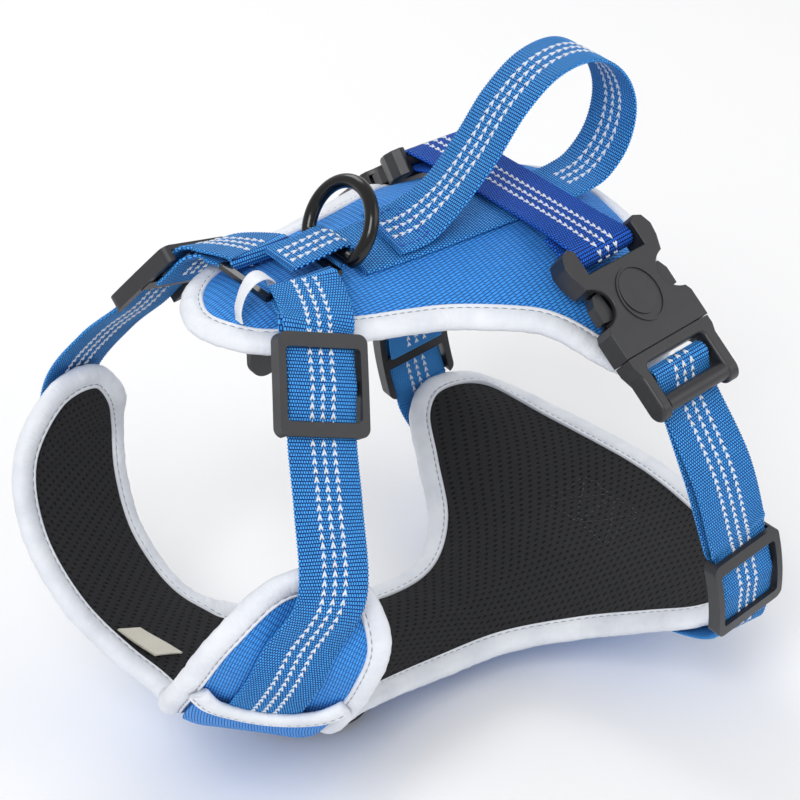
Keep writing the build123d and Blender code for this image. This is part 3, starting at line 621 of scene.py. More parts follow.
def chest_grids():
    """Grids of both arms and of the belly, and the arms' columns as places in ARM_EDGES."""
    rim = smooth(CHEST_RIM, per=20)
    rim[0, 1] = 0
    tip_neck, tip_leg = nearest(rim, ARM_EDGES[-1][1]), nearest(rim, ARM_EDGES[-1][0])
    fork = nearest(rim, (-58, 42, -90))
    wing = nearest(rim, (108, 86, -76))
    end = lengths(rim)[-1]
    fork_point = at(rim, fork)[0]
    f = np.linspace(0, 1, 40)[:, None]
    join = np.array([-50, 0, -109.6]) + f * np.array([0, fork_point[1], 0])
    join = join + f**2 * np.array([fork_point[0] + 50, 0, fork_point[2] + 109.6])
    leg = np.vstack([join, at(rim, np.linspace(fork, tip_leg, 160))[1:]])
    neck = at(rim, np.linspace(0, tip_neck, 160))
    leg_marks = [nearest(leg, a) for a, _ in ARM_EDGES]
    neck_marks = [nearest(neck, b) for _, b in ARM_EDGES]
    leg_marks[-1], neck_marks[-1] = lengths(leg)[-1], lengths(neck)[-1]
    places = np.arange(len(ARM_EDGES))
    fork_mark = lengths(join)[-1]
    split = np.interp(fork_mark, leg_marks, places)
    columns = np.concatenate([
        np.linspace(0, split, MIDDLE_COLUMNS + 1),
        np.linspace(split, places[-1], ARM_COLUMNS + 1)[1:],
    ])
    leg_points = at(leg, np.interp(columns, places, leg_marks))
    leg_points[MIDDLE_COLUMNS] = fork_point
    neck_points = at(neck, np.interp(columns, places, neck_marks))
    t = np.linspace(0, 1, ARM_ROWS + 1)[:, None, None]
    arm = (1 - t) * neck_points[None] + t * leg_points[None]
    tip = at(rim, np.linspace(tip_neck, tip_leg, ARM_ROWS + 1))
    straight = (1 - t[:, 0]) * tip[0] + t[:, 0] * tip[-1]
    pull = np.clip((columns - 5.1) / 0.9, 0, 1) ** 2
    arm = arm + (tip - straight)[:, None, :] * pull[None, :, None]
    # belly rows from the join back to the rear edge
    side = at(rim, fork + (wing - fork) * np.linspace(0, 1, BELLY_ROWS + 1))
    shares = lengths(leg_points[: MIDDLE_COLUMNS + 1])
    shares = (shares / shares[-1])[None, :, None]
    middle_x = -50 + (side[:, 0] - side[0, 0]) / (side[-1, 0] - side[0, 0]) * 177
    line = smooth([(x, 0, z) for x, z in MIDDLE], per=20)
    middle = np.stack([middle_x, 0 * middle_x, np.interp(middle_x, line[:, 0], line[:, 2])], axis=1)
    gap = (side - middle)[:, None, :]
    share = shares[..., 0]
    belly = middle[:, None, :] + gap * np.stack([share**2, share, share**2], axis=2)
    rear = at(rim, end - (end - wing) * shares[0, :, 0])
    late = ease((np.linspace(0, 1, BELLY_ROWS + 1) - 0.72) / 0.28)[:, None, None]
    belly = belly + (rear - belly[-1])[None] * late
    belly[0] = leg_points[: MIDDLE_COLUMNS + 1]
    belly[:, 0, 1] = 0
    arm[:, 0, 1] = 0
    return mirrored(arm), mirrored(belly), columns


# ---- padded panels


class Panel:
    """A sewn panel's middle surface: points, faces, pattern coordinate, rim order and normals."""

    def __init__(self, points, faces, flats, outward_from):
        self.faces = np.array(faces)
        self.flats = flats
        edges = dict.fromkeys((a, b) for face in faces for a, b in zip(face, face[1:] + face[:1]))
        onward = {a: b for a, b in edges if (b, a) not in edges}
        start = next(iter(onward))
        self.rim = [start]
        while onward[self.rim[-1]] != start:
            self.rim.append(onward[self.rim[-1]])
        pairs = np.array([(a, b) for a, b in edges if a < b or (b, a) not in edges])
        fixed = np.zeros(len(points), bool)
        fixed[self.rim] = True
        for _ in range(14):
            total = np.zeros_like(points)
            count = np.zeros(len(points))
            for a, b in ((0, 1), (1, 0)):
                np.add.at(total, pairs[:, a], points[pairs[:, b]])
                np.add.at(count, pairs[:, a], 1)
            points = np.where(fixed[:, None], points, 0.5 * points + 0.5 * total / count[:, None])
        self.points = points
        corners = points[self.faces]
        normals = np.cross(corners[:, 2] - corners[:, 0], corners[:, 3] - corners[:, 1])
        self.normals = np.zeros_like(points)
        for k in range(4):
            np.add.at(self.normals, self.faces[:, k], normals)
        self.normals = unit(self.normals)
        self.flip = np.mean(np.sum(self.normals * (points - np.array(outward_from)), axis=1)) < 0
        if self.flip:
            self.normals = -self.normals
        rim_points = points[self.rim]
        self.inset = np.array([np.min(np.linalg.norm(rim_points - p, axis=1)) for p in points])


def flats_of(grid):
    """Pattern coordinate of a grid: length from the middle column, and down each column."""
    middle = grid.shape[1] // 2
    steps = np.linalg.norm(np.diff(grid, axis=1), axis=2)
    run = np.concatenate([np.zeros((len(grid), 1)), np.cumsum(steps, axis=1)], axis=1)
    drop = np.linalg.norm(np.diff(grid, axis=0), axis=2)
    v = np.concatenate([np.zeros((1, grid.shape[1])), np.cumsum(drop, axis=0)], axis=0)
    return np.stack([run - run[:, middle : middle + 1], v], axis=2)


def seam_depth(flats, seams):
    """How strongly each point is drawn down by the sewn lines, from 0 to 1."""
    reach = 2.0
    pull = np.zeros(len(flats))
    for (u0, v0), (u1, v1) in seams:
        a, b = np.array([u0, v0], float), np.array([u1, v1], float)
        t = np.clip(((flats - a) @ (b - a)) / np.dot(b - a, b - a), 0, 1)
        apart = np.linalg.norm(flats - (a + t[:, None] * (b - a)), axis=1)
        pull = np.maximum(pull, np.exp(-((apart / reach) ** 2)))
    return pull


def closed_faces(faces, rim, count, flip):
    """Faces of an upper sheet, of a lower one count points on, and of the wall between them."""
    upper = [list(f) for f in faces]
    lower = [[i + count for i in f[::-1]] for f in faces]
    wall = [[b, a, a + count, b + count] for a, b in zip(rim, rim[1:] + rim[:1])]
    if flip:
        upper, lower, wall = ([f[::-1] for f in part] for part in (upper, lower, wall))
    return upper, lower, wall


PAD_HALF, PAD_RIM_HALF = 2.1, 1.3  # half of the pad's thickness, and at its sewn rim
PAD_RIPPLE = 0.22
SWELL_CAP, SWELL_FRAMES = 0.7, 20
HELD_RIM = 5.0


def pad_piece(name, panel, inner_seams):
    """The cloth, foam and lining as one sewn pad, swollen by a cloth simulation."""
    fullness = 1 - np.exp(-((panel.inset / 5.5) ** 2))
    pinch = seam_depth(panel.flats, inner_seams)
    ripple = np.array([
        noise.noise(Vector(p * 0.045)) + 0.5 * noise.noise(Vector(p * 0.11)) for p in panel.points
    ])
    wave = PAD_RIPPLE * ripple * fullness
    high = PAD_RIM_HALF + (PAD_HALF - PAD_RIM_HALF) * fullness + wave
    low = PAD_RIM_HALF + (PAD_HALF - PAD_RIM_HALF) * fullness * (1 - 0.85 * pinch) + wave
    top = panel.points + panel.normals * high[:, None]
    bottom = panel.points - panel.normals * low[:, None]
    upper, lower, wall = closed_faces(panel.faces, panel.rim, len(panel.points), panel.flip)
    mesh = Mesh()
    mesh.add(np.vstack([top, bottom]), upper + lower + wall, np.vstack([panel.flats, panel.flats]))
    mesh.marks = [0] * len(upper) + [1] * len(lower) + [0] * len(wall)
    obj = mesh.build(name, [CLOTH, AIR_MESH])
    rim = panel.inset < HELD_RIM
    swell(obj, np.concatenate([rim, rim | (pinch > 0.6)]))
    soften = obj.modifiers.new("soften", "SUBSURF")
    soften.levels = 1
    soften.render_levels = 1
    return obj


def vertex_places(data):
    places = np.zeros(len(data.vertices) * 3)
    data.vertices.foreach_get("co", places)
    return places.reshape(-1, 3)


def swell(obj, held):
    """Cloth under a little pressure, sewn down where held, moved at most SWELL_CAP."""
    group = obj.vertex_groups.new(name="held")
    group.add([int(i) for i in np.nonzero(held)[0]], 1.0, "REPLACE")
    cloth = obj.modifiers.new("cloth", "CLOTH")
    settings = cloth.settings
    settings.quality = 5
    settings.mass = settings.bending_stiffness = 0.2
    settings.tension_stiffness = settings.compression_stiffness = 20
    settings.use_pressure = True
    settings.uniform_pressure_force = 4.0
    settings.vertex_group_mass = "held"
    settings.effector_weights.gravity = 0.0
    cloth.collision_settings.use_collision = False
    cloth.point_cache.frame_start = 1
    cloth.point_cache.frame_end = SWELL_FRAMES
    before = vertex_places(obj.data)
    for step in range(1, SWELL_FRAMES + 1):
        bpy.context.scene.frame_set(step)
    posed = obj.evaluated_get(bpy.context.evaluated_depsgraph_get())
    move = vertex_places(posed.data) - before
    size = np.linalg.norm(move, axis=1, keepdims=True)
    move = move * np.minimum(1, SWELL_CAP * MM / np.maximum(size, 1e-9))
    obj.modifiers.remove(cloth)
    obj.data.vertices.foreach_set("co", (before + move).ravel())
    obj.data.update()
    bpy.context.scene.frame_set(1)


def place(obj, slot, *replaced):
    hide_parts(*replaced)
    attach(obj, "base")
    return obj


# Half sections of the tape folded round an edge, as (away from the cloth, out of it)
SEAM = -4.15
ROLL = [
    (-5.6, 1.9), (-5.5, 2.6), (-5.0, 2.9), (-4.5, 2.75), (SEAM, 2.35), (-3.75, 2.75), (-2.8, 3.15),
    (-1.2, 3.35), (0.4, 3.15), (1.7, 2.45), (2.6, 1.3), (2.9, 0.0),
]
PATCH_ROLL = [
    (-5.6, 0.3), (-5.5, 1.0), (-5.0, 1.3), (-4.5, 1.2), (SEAM, 0.9), (-3.7, 1.25), (-2.4, 1.7),
    (-0.8, 1.85), (0.6, 1.6), (1.6, 0.9), (2.0, 0.0),
]
ROLL_STEP = 1.5


def roll_frames(points, normals, closed):
    """Even points along an edge with the normal and the direction away from the cloth."""
    data = np.hstack([points, normals])
    if closed:
        data = np.vstack([data, data[:1]])
    curve = even(data, ROLL_STEP)
    if closed:
        curve = curve[:-1]
    p, n = curve[:, :3], unit(curve[:, 3:])
    if closed:
        for _ in range(3):
            n = unit(n + np.roll(n, 1, axis=0) + np.roll(n, -1, axis=0))
        way = unit(np.roll(p, -1, axis=0) - np.roll(p, 1, axis=0))
    else:
        way = unit(np.gradient(p, axis=0))
    n = unit(n - way * np.sum(n * way, axis=1, keepdims=True))
    return p, n, way, np.cross(way, n)


def rolled_edge(name, points, normals, inside, closed=True, profile=ROLL):
    """Tape folded round an edge and sewn through, with a row of stitches in its groove."""
    p, n, way, out = roll_frames(points, normals, closed)
    if np.mean(np.sum(out * (p - inside(p)), axis=1)) < 0:
        out = -out
    loop = profile + [(a, -b) for a, b in profile[-2::-1]]
    verts, flats = [], []
    run = ROLL_STEP * np.arange(len(p))
    around = lengths(np.array([(a, b, 0) for a, b in loop]))
    for k in range(len(p)):
        crease = 0.09 * noise.noise(Vector((run[k] * 0.35, 7.7, 0)))
        crease += 0.05 * noise.noise(Vector((run[k] * 1.1, 2.3, 0)))
        for j, (a, b) in enumerate(loop):
            swell_by = 1 + crease * (a > -3.6)
            verts.append(p[k] + out[k] * a * swell_by + n[k] * b * swell_by)
            flats.append((around[j], run[k]))
    mesh = Mesh()
    size = len(loop)
    faces = grid_faces(len(p), size, close=True)
    last = (len(p) - 1) * size
    if closed:
        faces += [[last + j, last + (j + 1) % size, (j + 1) % size, j] for j in range(size)]
        mesh.closing = (last, size, ROLL_STEP * len(p))
    else:
        faces += [list(range(size))[::-1], [last + j for j in range(size)]]
    mesh.add(verts, faces, flats)
    groove = dict(profile)[SEAM] + 0.07
    for side in (1, -1):
        line = p + out * SEAM + n * side * groove
        outs = n * side
        if closed:
            line, outs = np.vstack([line, line[:1]]), np.vstack([outs, outs[:1]])
        stitches(mesh, line, outs, length=2.4, gap=0.7, radius=0.2, mark=1)
    return mesh.build(name, [TAPE, GREY_THREAD])


def panel_pad(stem, panel, seams):
    pad = pad_piece(f"{stem}_pad", panel, seams)
    place(pad, "blue_cloth", f"{stem}_cover", f"{stem}_foam", f"{stem}_lining")


def panel_roll(stem, panel, inside):
    roll = rolled_edge(f"{stem}_roll", panel.points[panel.rim], panel.normals[panel.rim], inside)
    place(roll, "grey_binding", f"{stem}_binding")


back = back_grid()
back_rows, back_columns = back.shape[:2]
back_flats = np.stack([back[:, :, 0], flats_of(back)[:, :, 0]], axis=2)
back_panel = Panel(
    back.reshape(-1, 3), grid_faces(back_rows, back_columns), back_flats.reshape(-1, 2), (0, 0, -40)
)
panel_pad("back_panel", back_panel, [])
panel_roll("back_panel", back_panel, lambda p: p * np.array([0.9, 0.0, 1.0]))

arm_grid, belly_grid, arm_places = chest_grids()
arm_rows, arm_columns = arm_grid.shape[:2]
belly_rows, belly_columns = belly_grid.shape[:2]
centre_column = arm_columns // 2
arm_flats = flats_of(arm_grid)
first = centre_column - belly_columns // 2
belly_flats = flats_of(belly_grid)
belly_flats[:, :, 1] += arm_flats[-1, first : first + belly_columns, 1][None]
chest_points = np.vstack([arm_grid.reshape(-1, 3), belly_grid[1:].reshape(-1, 3)])
chest_flats = np.vstack([arm_flats.reshape(-1, 2), belly_flats[1:].reshape(-1, 2)])
chest_faces = grid_faces(arm_rows, arm_columns)
join_row = [(arm_rows - 1) * arm_columns + first + j for j in range(belly_columns)]
offset = arm_rows * arm_columns
belly_ids = [join_row]
belly_ids += [[offset + i * belly_columns + j for j in range(belly_columns)] for i in range(belly_rows - 1)]
for row, under in zip(belly_ids, belly_ids[1:]):
    for j in range(belly_columns - 1):
        chest_faces.append([row[j], row[j + 1], under[j + 1], under[j]])
chest_panel = Panel(chest_points, chest_faces, chest_flats, (-10, 0, 10))

# Crossed boxes sewn through the lining, one each side of the middle, near the rear edge
CHEST_SEAMS = []
for side in (-1, 1):
    CHEST_SEAMS += crossed([(side * u, v) for u, v in ((1, 198), (18, 200), (17, 219), (1, 217))])


def chest_inside(p):
    """For each rim point, a point of the panel some way in from it."""
    inner = chest_panel.points[(chest_panel.inset > 7) & (chest_panel.inset < 12)]
    return np.array([inner[np.argmin(np.linalg.norm(inner - q, axis=1))] for q in p])


panel_pad("chest_panel", chest_panel, CHEST_SEAMS)


def lining_spot(u, v):
    """Middle surface and normal of the chest panel at a pattern coordinate."""
    apart = np.linalg.norm(chest_flats - np.array([u, v]), axis=1)
    k = np.argsort(apart)[:4]
    weight = 1 / (apart[k] + 0.3) ** 2
    weight = weight / weight.sum()
    return weight @ chest_panel.points[k], unit(weight @ chest_panel.normals[k])


lining_thread = Mesh()
for (u0, v0), (u1, v1) in CHEST_SEAMS:
    found = [lining_spot(u0 + (u1 - u0) * t, v0 + (v1 - v0) * t) for t in np.linspace(0, 1, 16)]
    found = smooth([np.concatenate(pair) for pair in found[::3]], per=8)
    on_lining = found[:, :3] - unit(found[:, 3:]) * 1.5
    stitches(lining_thread, on_lining, -found[:, 3:], length=2.6, gap=0.5, radius=0.32)
lining_sewing = lining_thread.build("lining_sewing", [BLACK_THREAD])
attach(lining_sewing, "base")
panel_roll("chest_panel", chest_panel, chest_inside)


# ---- webbing

# spine webbing, draped over the panel
SPINE_LIFT = 2.5 + 0.3 + WEB / 2


def spine_station(x):
    return np.array([x, 0, float(back_height(x, 0.0)) + SPINE_LIFT]), np.array([0, 1, back_slope(x)])


def over_back(centre, u):
    """How far the back lies above the straight line across it, at u from the middle."""
    x = centre[0]
    return float(back_height(x, u) - back_height(x, 0.0) - back_slope(x) * u)


spine_band = Band([spine_station(x) for x in np.linspace(-23, 44, 9)], outward=(0, 0, 1))
spine = band_piece("spine_tape", spine_band, WIDE, WEB, WEB_PAIR, rows=(), drape=over_back)
place(spine, "blue_webbing", "spine_webbing")

# girth webbing over the back, folded round the bars of the two sockets
GIRTH_X, GIRTH_TOP_Z = 51.0, 68.9
GIRTH_BAR = np.array([51.0, 46.0, 65.5])
BUCKLE_WAY = unit([0.114, 0.749, -0.651])
BUCKLE_OUT = unit(np.cross([1, 0, 0], BUCKLE_WAY))
BUCKLE_X = unit(np.cross(BUCKLE_WAY, BUCKLE_OUT))


def fold_round(centre, across, start_side, far_side, radius):
    """Stations half way round a bar, from its start side by its far side."""
    out = []
    for step in range(7):
        turn = math.radians(30 * step)
        out.append((centre + (start_side * math.cos(turn) + far_side * math.sin(turn)) * radius, across))
    return out


girth_radius = 2.0 + GAP + WEB / 2
girth_way = unit(np.cross([0, 0, 1], BUCKLE_X))
girth_up = np.cross(BUCKLE_X, girth_way)
straight = np.array([1.0, 0, 0])
girth_right = [(np.array([GIRTH_X, 30, GIRTH_TOP_Z]), straight)]
girth_right += fold_round(GIRTH_BAR, BUCKLE_X, girth_up, girth_way, girth_radius)
girth_right += [(np.array([GIRTH_X, 31, 66.2]), straight)]
girth_left = [(c * MIRROR, a * MIRROR) for c, a in girth_right[::-1]]
girth_middle = [(np.array([GIRTH_X, 0, GIRTH_TOP_Z]), straight)]
girth_band = Band(girth_left + girth_middle + girth_right, outward=(0, 0, -1))
girth = band_piece("girth_tape", girth_band, WIDE, WEB, [DEEP, YARN])
place(girth, "blue_webbing", "girth_webbing")

# handle: one loop, both ends sewn to the back
HANDLE_POINTS = [
    (-8, 70.0), (0, 70.1), (6, 71.2), (19, 78), (32, 90), (45, 105), (60, 115), (76, 116),
    (89, 107), (95, 93), (92, 78), (83, 68.5), (75, 66.2), (67, 65.6),
]
handle_run = []
for x, z in HANDLE_POINTS:
    slope = 0.0 if x > 10 or z < 70 else back_slope(x)
    handle_run.append((np.array([x, 0, z]), np.array([0, 1.0, slope])))
handle_band = Band(handle_run, outward=(0, 0, 1))
handle = band_piece("handle_tape", handle_band, 24.0, WEB, WEB_PAIR)
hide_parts("handle_loop")
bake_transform(handle)
handle_long = handle_band.length[-1]
feet = crossed_box(1.5, 14) + crossed_box(handle_long - 14, handle_long - 1.5)
sew("handle_sewing", handle_band, feet)


# ---- straps

SLIDER_HALF = 18.5
OVER_SLIDER = (-SLIDER_HALF, -11, -5, 0, 5, 11, SLIDER_HALF)
UNDER_SLIDER = (-SLIDER_HALF, -10, -3)
UNDER_LIFT = -1.1 - 1.9 - GAP - WEB / 2
NECK_CURVE, GIRTH_CURVE = 1000, 90


def station(centre, across, way):
    centre, way = np.array(centre, float), unit(way)
    across = unit(np.array(across, float) - way * np.dot(across, way))
    return centre, across, np.cross(way, across), way


def moved(s, lift):
    return s[0] + s[2] * lift, s[1]


def along_curve(s, curve, places, lift=0.0, bulge=0.0):
    """Stations that follow the curve of a slide, with a bulge where they pass over its bar."""
    out = []
    for spot in places:
        lean = spot / curve
        outward = s[2] * math.cos(lean) + s[3] * math.sin(lean)
        over_bar = bulge * math.exp(-((spot / 5.0) ** 2))
        out.append((s[0] - s[2] * curve + outward * (curve + lift + over_bar), s[1]))
    return out


def both_sides(stem, stations, replaced=None, **how):
    """A webbing on the right and its mirror image on the left, each with its band and mirroring."""
    made = []
    for side, sign in (("right", 1), ("left", -1)):
        flip = np.array([1, sign, 1])
        band = Band([(c * flip, a * flip) for c, a in stations], outward=(0, sign, 0))
        obj = band_piece(f"{stem}_{side}", band, WIDE, WEB, WEB_PAIR, **how)
        if replaced:
            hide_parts(f"{replaced}_{side}")
        made.append((obj, band, side, flip))
    return made


NECK_SLIDER = station((-65, 45, 53), (-0.95, -0.2, 0.25), (-0.36, 0.55, -0.75))
NECK_BAR = np.array([-49.5, 13.0, 70.4])
neck_radius = 1.0 + GAP + WEB / 2
shoulder = station((-55, 29, 69.4), (-0.97, -0.2, 0.1), (-0.4, 0.75, -0.5))
ahead = np.array([-1.0, 0, 0])
neck_top = fold_round(NECK_BAR, ahead, np.array([0, 0, -1.0]), np.array([0, -1.0, 0]), neck_radius)
neck_over = neck_top[3:] + [shoulder[:2]]
neck_over += along_curve(NECK_SLIDER, NECK_CURVE, OVER_SLIDER, bulge=1.3)
neck_over += [
    station((-79, 68.5, 24), (-0.93, -0.2, 0.3), (-0.3, 0.4, -0.85))[:2],
    station((-88, 82.5, 0), (-0.93, -0.2, 0.25), (-0.25, 0.05, -0.97))[:2],
]


def arm_column(place_on):
    return np.interp(place_on, arm_places, np.arange(len(arm_places)))


def arm_station(place_on):
    """A station on the middle of the right arm, outside the panel, by its place along the arm."""
    lift, spread = 2.5 + GAP + WEB / 2, 6
    row, column = (arm_rows - 1) // 2, int(round(centre_column + arm_column(place_on)))
    k = row * arm_columns + column
    ahead_of = chest_panel.points[k - spread * arm_columns]
    behind = chest_panel.points[k + spread * arm_columns]
    return chest_panel.points[k] + chest_panel.normals[k] * lift, unit(ahead_of - behind)


arm_run = [arm_station(p) for p in (4.9, 4.3, 3.7, 3.1, 2.5, 1.9, 1.3)]
neck_over += arm_run
neck_under = neck_top[3::-1] + [moved(shoulder, -3.3)]
neck_under += along_curve(NECK_SLIDER, NECK_CURVE, UNDER_SLIDER, UNDER_LIFT)
for obj, band, side, flip in both_sides(
    "neck_strap_tape", neck_over, "neck_strap", ends=(3, 1.5), turned_until=30.0
):
    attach(obj, "base")
    foot = nearest(band.centre, arm_run[0][0] * flip)
    sew(f"neck_sewing_{side}", band, crossed_box(foot + 2, foot + 20))
for obj, _, side, flip in both_sides("neck_strap_return", neck_under, sides=(-1,)):
    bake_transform(obj)

GIRTH_SLIDER = station((80, 99.8, -56), (-0.97, 0.05, -0.2), (0.17, -0.02, -0.98))
MALE_BAR = GIRTH_BAR + BUCKLE_WAY * 47.5
END_BAR = GIRTH_BAR + BUCKLE_WAY * 57.2 + BUCKLE_OUT * 1.4
strap_radius = 2.0 + GAP + WEB / 2
strap_across = -BUCKLE_X


def leaning(degrees):
    """The buckle's direction away from the spine, and out of it, turned inward."""
    turn = math.radians(degrees)
    return (
        BUCKLE_WAY * math.cos(turn) - BUCKLE_OUT * math.sin(turn),
        BUCKLE_OUT * math.cos(turn) + BUCKLE_WAY * math.sin(turn),
    )


strap_way, strap_out = leaning(12.6)
exit_way, exit_out = leaning(31)
strap_exit = station(END_BAR - exit_out * (3.2 + 0.3 + WEB / 2), strap_across, exit_way)
strap_top = fold_round(MALE_BAR, strap_across, -strap_out, -strap_way, strap_radius)
tilt = (-0.965, -0.02, -0.26)
strap_a = station((65.6, 98, -4), tilt, (0.25, 0.1, -0.96))
strap_b = station((73.3, 100.2, -31), tilt, (0.26, 0.05, -0.96))
strap_over = strap_top[3:] + [strap_exit[:2], strap_a[:2], strap_b[:2]]
strap_over += along_curve(GIRTH_SLIDER, GIRTH_CURVE, OVER_SLIDER, bulge=1.0)
strap_over += [
    station((82.7, 95, -80), (-1, 0, 0), (0, -0.7, -0.7))[:2],
    station((82.5, 88, -83.4), (-1, 0, -0.08), (0, -0.95, -0.3))[:2],
    station((82.3, 78, -86.4), (-1, 0, -0.16), (0, -0.95, -0.3))[:2],
    station((82, 62, -91.2), (-1, 0, -0.2), (0, -0.95, -0.3))[:2],
]
strap_turn = strap_top[3::-1] + [moved(strap_exit, -1.8), moved(strap_a, -5.0)]
strap_under = [moved(strap_a, -5.0), moved(strap_b, -4.8)]
strap_under += along_curve(GIRTH_SLIDER, GIRTH_CURVE, UNDER_SLIDER, UNDER_LIFT)
slider_top = GIRTH_SLIDER[0] - GIRTH_SLIDER[3] * 15
for stem, run, replaced, body, start, end in (
    ("girth_strap_tape", strap_over, "girth_strap", "buckle_male", strap_b[0], strap_exit[0]),
    ("girth_strap_turn", strap_turn, None, "buckle_male", strap_a[0], strap_exit[0]),
    ("girth_strap_return", strap_under, None, "girth_slider", strap_a[0], slider_top),
):
    for obj, _, side, flip in both_sides(stem, run, replaced, ends=(0, 1.5)):
        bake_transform(obj)


# ---- tabs, patch, label, keeper


def bar_tab(stem, centre, bar_radius, tail, half_width, materials, slot, node):
    """Webbing wrapped round a ring's bar, with a tail towards the head."""
    radius = bar_radius + GAP + WEB / 2
    c, end = np.array(centre, float), np.array([tail[0], 0, tail[1]])
    line = [end, (end + c + np.array([0, 0, radius])) / 2]
    for step in range(8):
        turn = math.radians(90 - 30 * step)
        line.append(c + radius * np.array([math.cos(turn), 0, math.sin(turn)]))
    band = Band([(p, np.array([0, 1.0, 0])) for p in line], outward=(0, 0, 1))
    place(band_piece(stem, band, 2 * half_width, WEB, materials), slot, node)


bar_tab(
    "ring_tab_tape", (-29, 0, 72.4), 2.5, (-50, 73.8), 8.6,
    WEB_PAIR, "blue_webbing", "ring_tab",
)
bar_tab(
    "chest_tab_tape", (-42, 0, -119.3), 2.0, (-57, -116.0), 9.5,
    [BLACK_WEB, BLACK_THREAD], "black_webbing", "chest_ring_tab",
)

# patch over the breastbone, outside the strap ends, with a hollow edge up each arm


def arm_spot(place_on, share):
    """Middle surface, normal and pattern coordinate of the arms; places run -6 to 6."""
    j = centre_column + math.copysign(arm_column(abs(place_on)), place_on)
    i = share * (arm_rows - 1)
    i0, j0 = min(int(i), arm_rows - 2), min(int(j), arm_columns - 2)
    fi, fj = i - i0, j - j0
    found = np.zeros(8)
    for di, wi in ((0, 1 - fi), (1, fi)):
        for dj, wj in ((0, 1 - fj), (1, fj)):
            k = (i0 + di) * arm_columns + j0 + dj
            corner = np.concatenate([chest_panel.points[k], chest_panel.normals[k], chest_flats[k]])
            found += wi * wj * corner
    return found[:3], unit(found[3:6]), found[6:]


PATCH_ROWS, PATCH_COLUMNS, PATCH_HALF = 27, 85, 0.45
patch_top, patch_low, patch_flats, patch_normals = [], [], [], []
for i in range(PATCH_ROWS):
    share = 0.1 + 0.8 * i / (PATCH_ROWS - 1)
    for j in range(PATCH_COLUMNS):
        over = 2 * j / (PATCH_COLUMNS - 1) - 1
        reach = 3.4 + (0.62 if share < 0.58 else 0.9) * (2 * share - 1.16) ** 2
        spot, normal, flat = arm_spot(over * reach, share)
        middle = 1 - abs(2 * share - 1)
        rise = 2.9 + 2.6 * ease(middle * 2.2) + 0.35 * noise.noise(Vector(spot * 0.06))
        patch_top.append(spot + normal * (rise + PATCH_HALF))
        patch_low.append(spot + normal * (rise - PATCH_HALF))
        patch_flats.append(flat)
        patch_normals.append(normal)
patch = Mesh()
border = list(range(PATCH_COLUMNS))
border += [i * PATCH_COLUMNS + PATCH_COLUMNS - 1 for i in range(1, PATCH_ROWS)]
border += [(PATCH_ROWS - 1) * PATCH_COLUMNS + j for j in range(PATCH_COLUMNS - 2, -1, -1)]
border += [i * PATCH_COLUMNS for i in range(PATCH_ROWS - 2, 0, -1)]
upper, lower, wall = closed_faces(
    grid_faces(PATCH_ROWS, PATCH_COLUMNS), border, PATCH_ROWS * PATCH_COLUMNS, chest_panel.flip
)
patch.add(np.vstack([patch_top, patch_low]), upper + lower + wall, np.vstack([patch_flats, patch_flats]))
place(patch.build("breast_patch", [CLOTH]), "blue_cloth", "chest_patch")

patch_mid = (np.array(patch_top) + np.array(patch_low)).reshape(PATCH_ROWS, PATCH_COLUMNS, 3) / 2
patch_out = np.array(patch_normals).reshape(PATCH_ROWS, PATCH_COLUMNS, 3)
for side, edge, inward in (("left", 0, 4), ("right", -1, -5)):
    line = patch_mid[:, inward]
    roll = rolled_edge(
        f"patch_roll_{side}", patch_mid[:, edge], patch_out[:, edge],
        lambda p, line=line: at(line, np.linspace(0, lengths(line)[-1], len(p))),
        closed=False, profile=PATCH_ROLL,
    )
    place(roll, "grey_binding", f"chest_patch_binding_{side}")

# keeper strip at the front of the back panel
KEEPER = [
    ((-74, -12, 64.6), (0.2, 1, 0)), ((-73.8, -11.2, 68.6), (0.3, 1, 0)), ((-71, -10, 73.2), (0.4, 1, 0)),
    ((-66.5, -8.6, 75.8), (0.3, 1, 0)), ((-61.5, -7, 75.4), (0.1, 1, 0)), ((-58, -6.4, 72.4), (0, 1, 0)),
    ((-56.6, -6.2, 67.6), (0, 1, 0)),
]
keeper_band = Band([(np.array(c, float), unit(a)) for c, a in KEEPER])
keeper = band_piece("keeper_tape", keeper_band, 6.5, 0.9, [TAPE, YARN], rows=())
place(keeper, "grey_binding", "keeper_strip")

# size label on the lining of the right arm, beside the neck edge
LABEL_ROWS, LABEL_COLUMNS = 7, 9
label_mesh = Mesh()
label_side = np.linspace(0, 1, LABEL_ROWS)[:, None, None]
label_along = np.linspace(0, 1, LABEL_COLUMNS)[None, :, None]
LABEL_CORNERS = [np.array(c, float) for c in ((94, 2.2), (92, 5.6), (82, 7.2), (85, 3.0))]
near_edge = LABEL_CORNERS[0] + (LABEL_CORNERS[3] - LABEL_CORNERS[0]) * label_along
far_edge = LABEL_CORNERS[1] + (LABEL_CORNERS[2] - LABEL_CORNERS[1]) * label_along
label_places = (near_edge + (far_edge - near_edge) * label_side).reshape(-1, 2)
label_faces = grid_faces(LABEL_ROWS, LABEL_COLUMNS)
for lift, faces in ((-3.9, label_faces), (-3.3, [f[::-1] for f in label_faces])):
    spots, flat = [], []
    for column, row in label_places:
        place_on = np.interp(column - centre_column, np.arange(len(arm_places)), arm_places)
        spot, normal, where = arm_spot(place_on, row / (arm_rows - 1))
        spots.append(spot + normal * lift)
        flat.append(where)
    label_mesh.add(spots, faces, flat)
place(label_mesh.build("woven_label", [LABEL]), "label", "size_label")


# ---- hardware


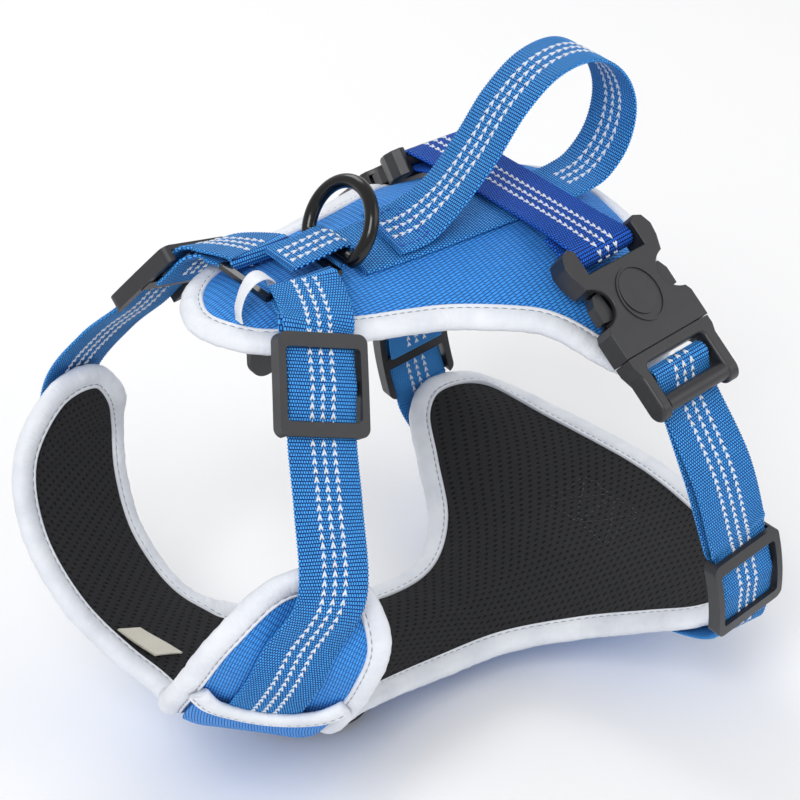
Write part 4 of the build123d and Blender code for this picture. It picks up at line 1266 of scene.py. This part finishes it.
def finish_node(name, material, edge=0.0):
    """A CAD piece kept as it is, with its edges softened and a finish."""
    obj = nodes[name]
    obj.data.materials.clear()
    obj.data.materials.append(material)
    if edge:
        soft = obj.modifiers.new("soft_edges", "BEVEL")
        soft.width = edge * MM
        soft.segments = 2
        soft.limit_method = "ANGLE"
        soft.angle_limit = math.radians(32)
        soft.harden_normals = True
    obj.data.polygons.foreach_set("use_smooth", [True] * len(obj.data.polygons))


MOULDED = (
    "neck_slider", "girth_slider",
    "buckle_female", "buckle_male", "buckle_prong_front", "buckle_prong_rear",
)
for side in ("left", "right"):
    for stem in MOULDED:
        finish_node(f"{stem}_{side}", PLASTIC, 0.45)
for name in ("back_ring", "chest_ring", "neck_anchor"):
    finish_node(name, PAINT)
finish_node("underside_tab", PLASTIC, 0.5)


# ---- floor, light, camera

floor_data = bpy.data.meshes.new("floor")
reach = 6.0
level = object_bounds()[0][2] - 0.0004
corners = [(-reach, -reach, level), (reach, -reach, level), (reach, reach, level), (-reach, reach, level)]
floor_data.from_pydata(corners, [], [[0, 1, 2, 3]])
floor_shader = Shader("pale_floor", 0.8)
floor_shader.colour(rgb(244, 244, 245))
floor_data.materials.append(floor_shader.finish())
new_object("floor", floor_data)

bpy.context.scene.view_settings.view_transform = "Standard"
world = bpy.data.worlds.new("studio")
bpy.context.scene.world = world
world.use_nodes = True
background = world.node_tree.nodes["Background"]
background.inputs["Color"].default_value = (1, 1, 1, 1)
background.inputs["Strength"].default_value = 0.62


def softbox(name, spot, size, power):
    """A square light aimed at the origin."""
    light = bpy.data.lights.new(name, "AREA")
    light.size = size
    light.energy = power
    obj = new_object(name, light)
    obj.location = spot
    obj.rotation_euler = (-Vector(spot)).to_track_quat("-Z", "Y").to_euler()


softbox("key", (-0.9, -0.7, 1.1), 0.7, 12.0)
softbox("fill", (0.9, -0.9, 0.7), 1.0, 4.0)
softbox("rim", (0.3, 1.1, 1.0), 0.8, 6.0)

AZIMUTH, ELEVATION, DISTANCE, LENS = -36.5, 32.5, 0.916, 115.4
az, el = math.radians(AZIMUTH), math.radians(ELEVATION)
camera_data = bpy.data.cameras.new("camera")
camera_data.lens = LENS
camera_data.sensor_width = 36.0
camera_data.clip_start = 0.01
camera = new_object("camera", camera_data)
toward_camera = math.sin(az) * math.cos(el), -math.cos(az) * math.cos(el), math.sin(el)
camera.location = DISTANCE * Vector(toward_camera)
camera.rotation_euler = (-camera.location).to_track_quat("-Z", "Y").to_euler()
bpy.context.scene.camera = camera
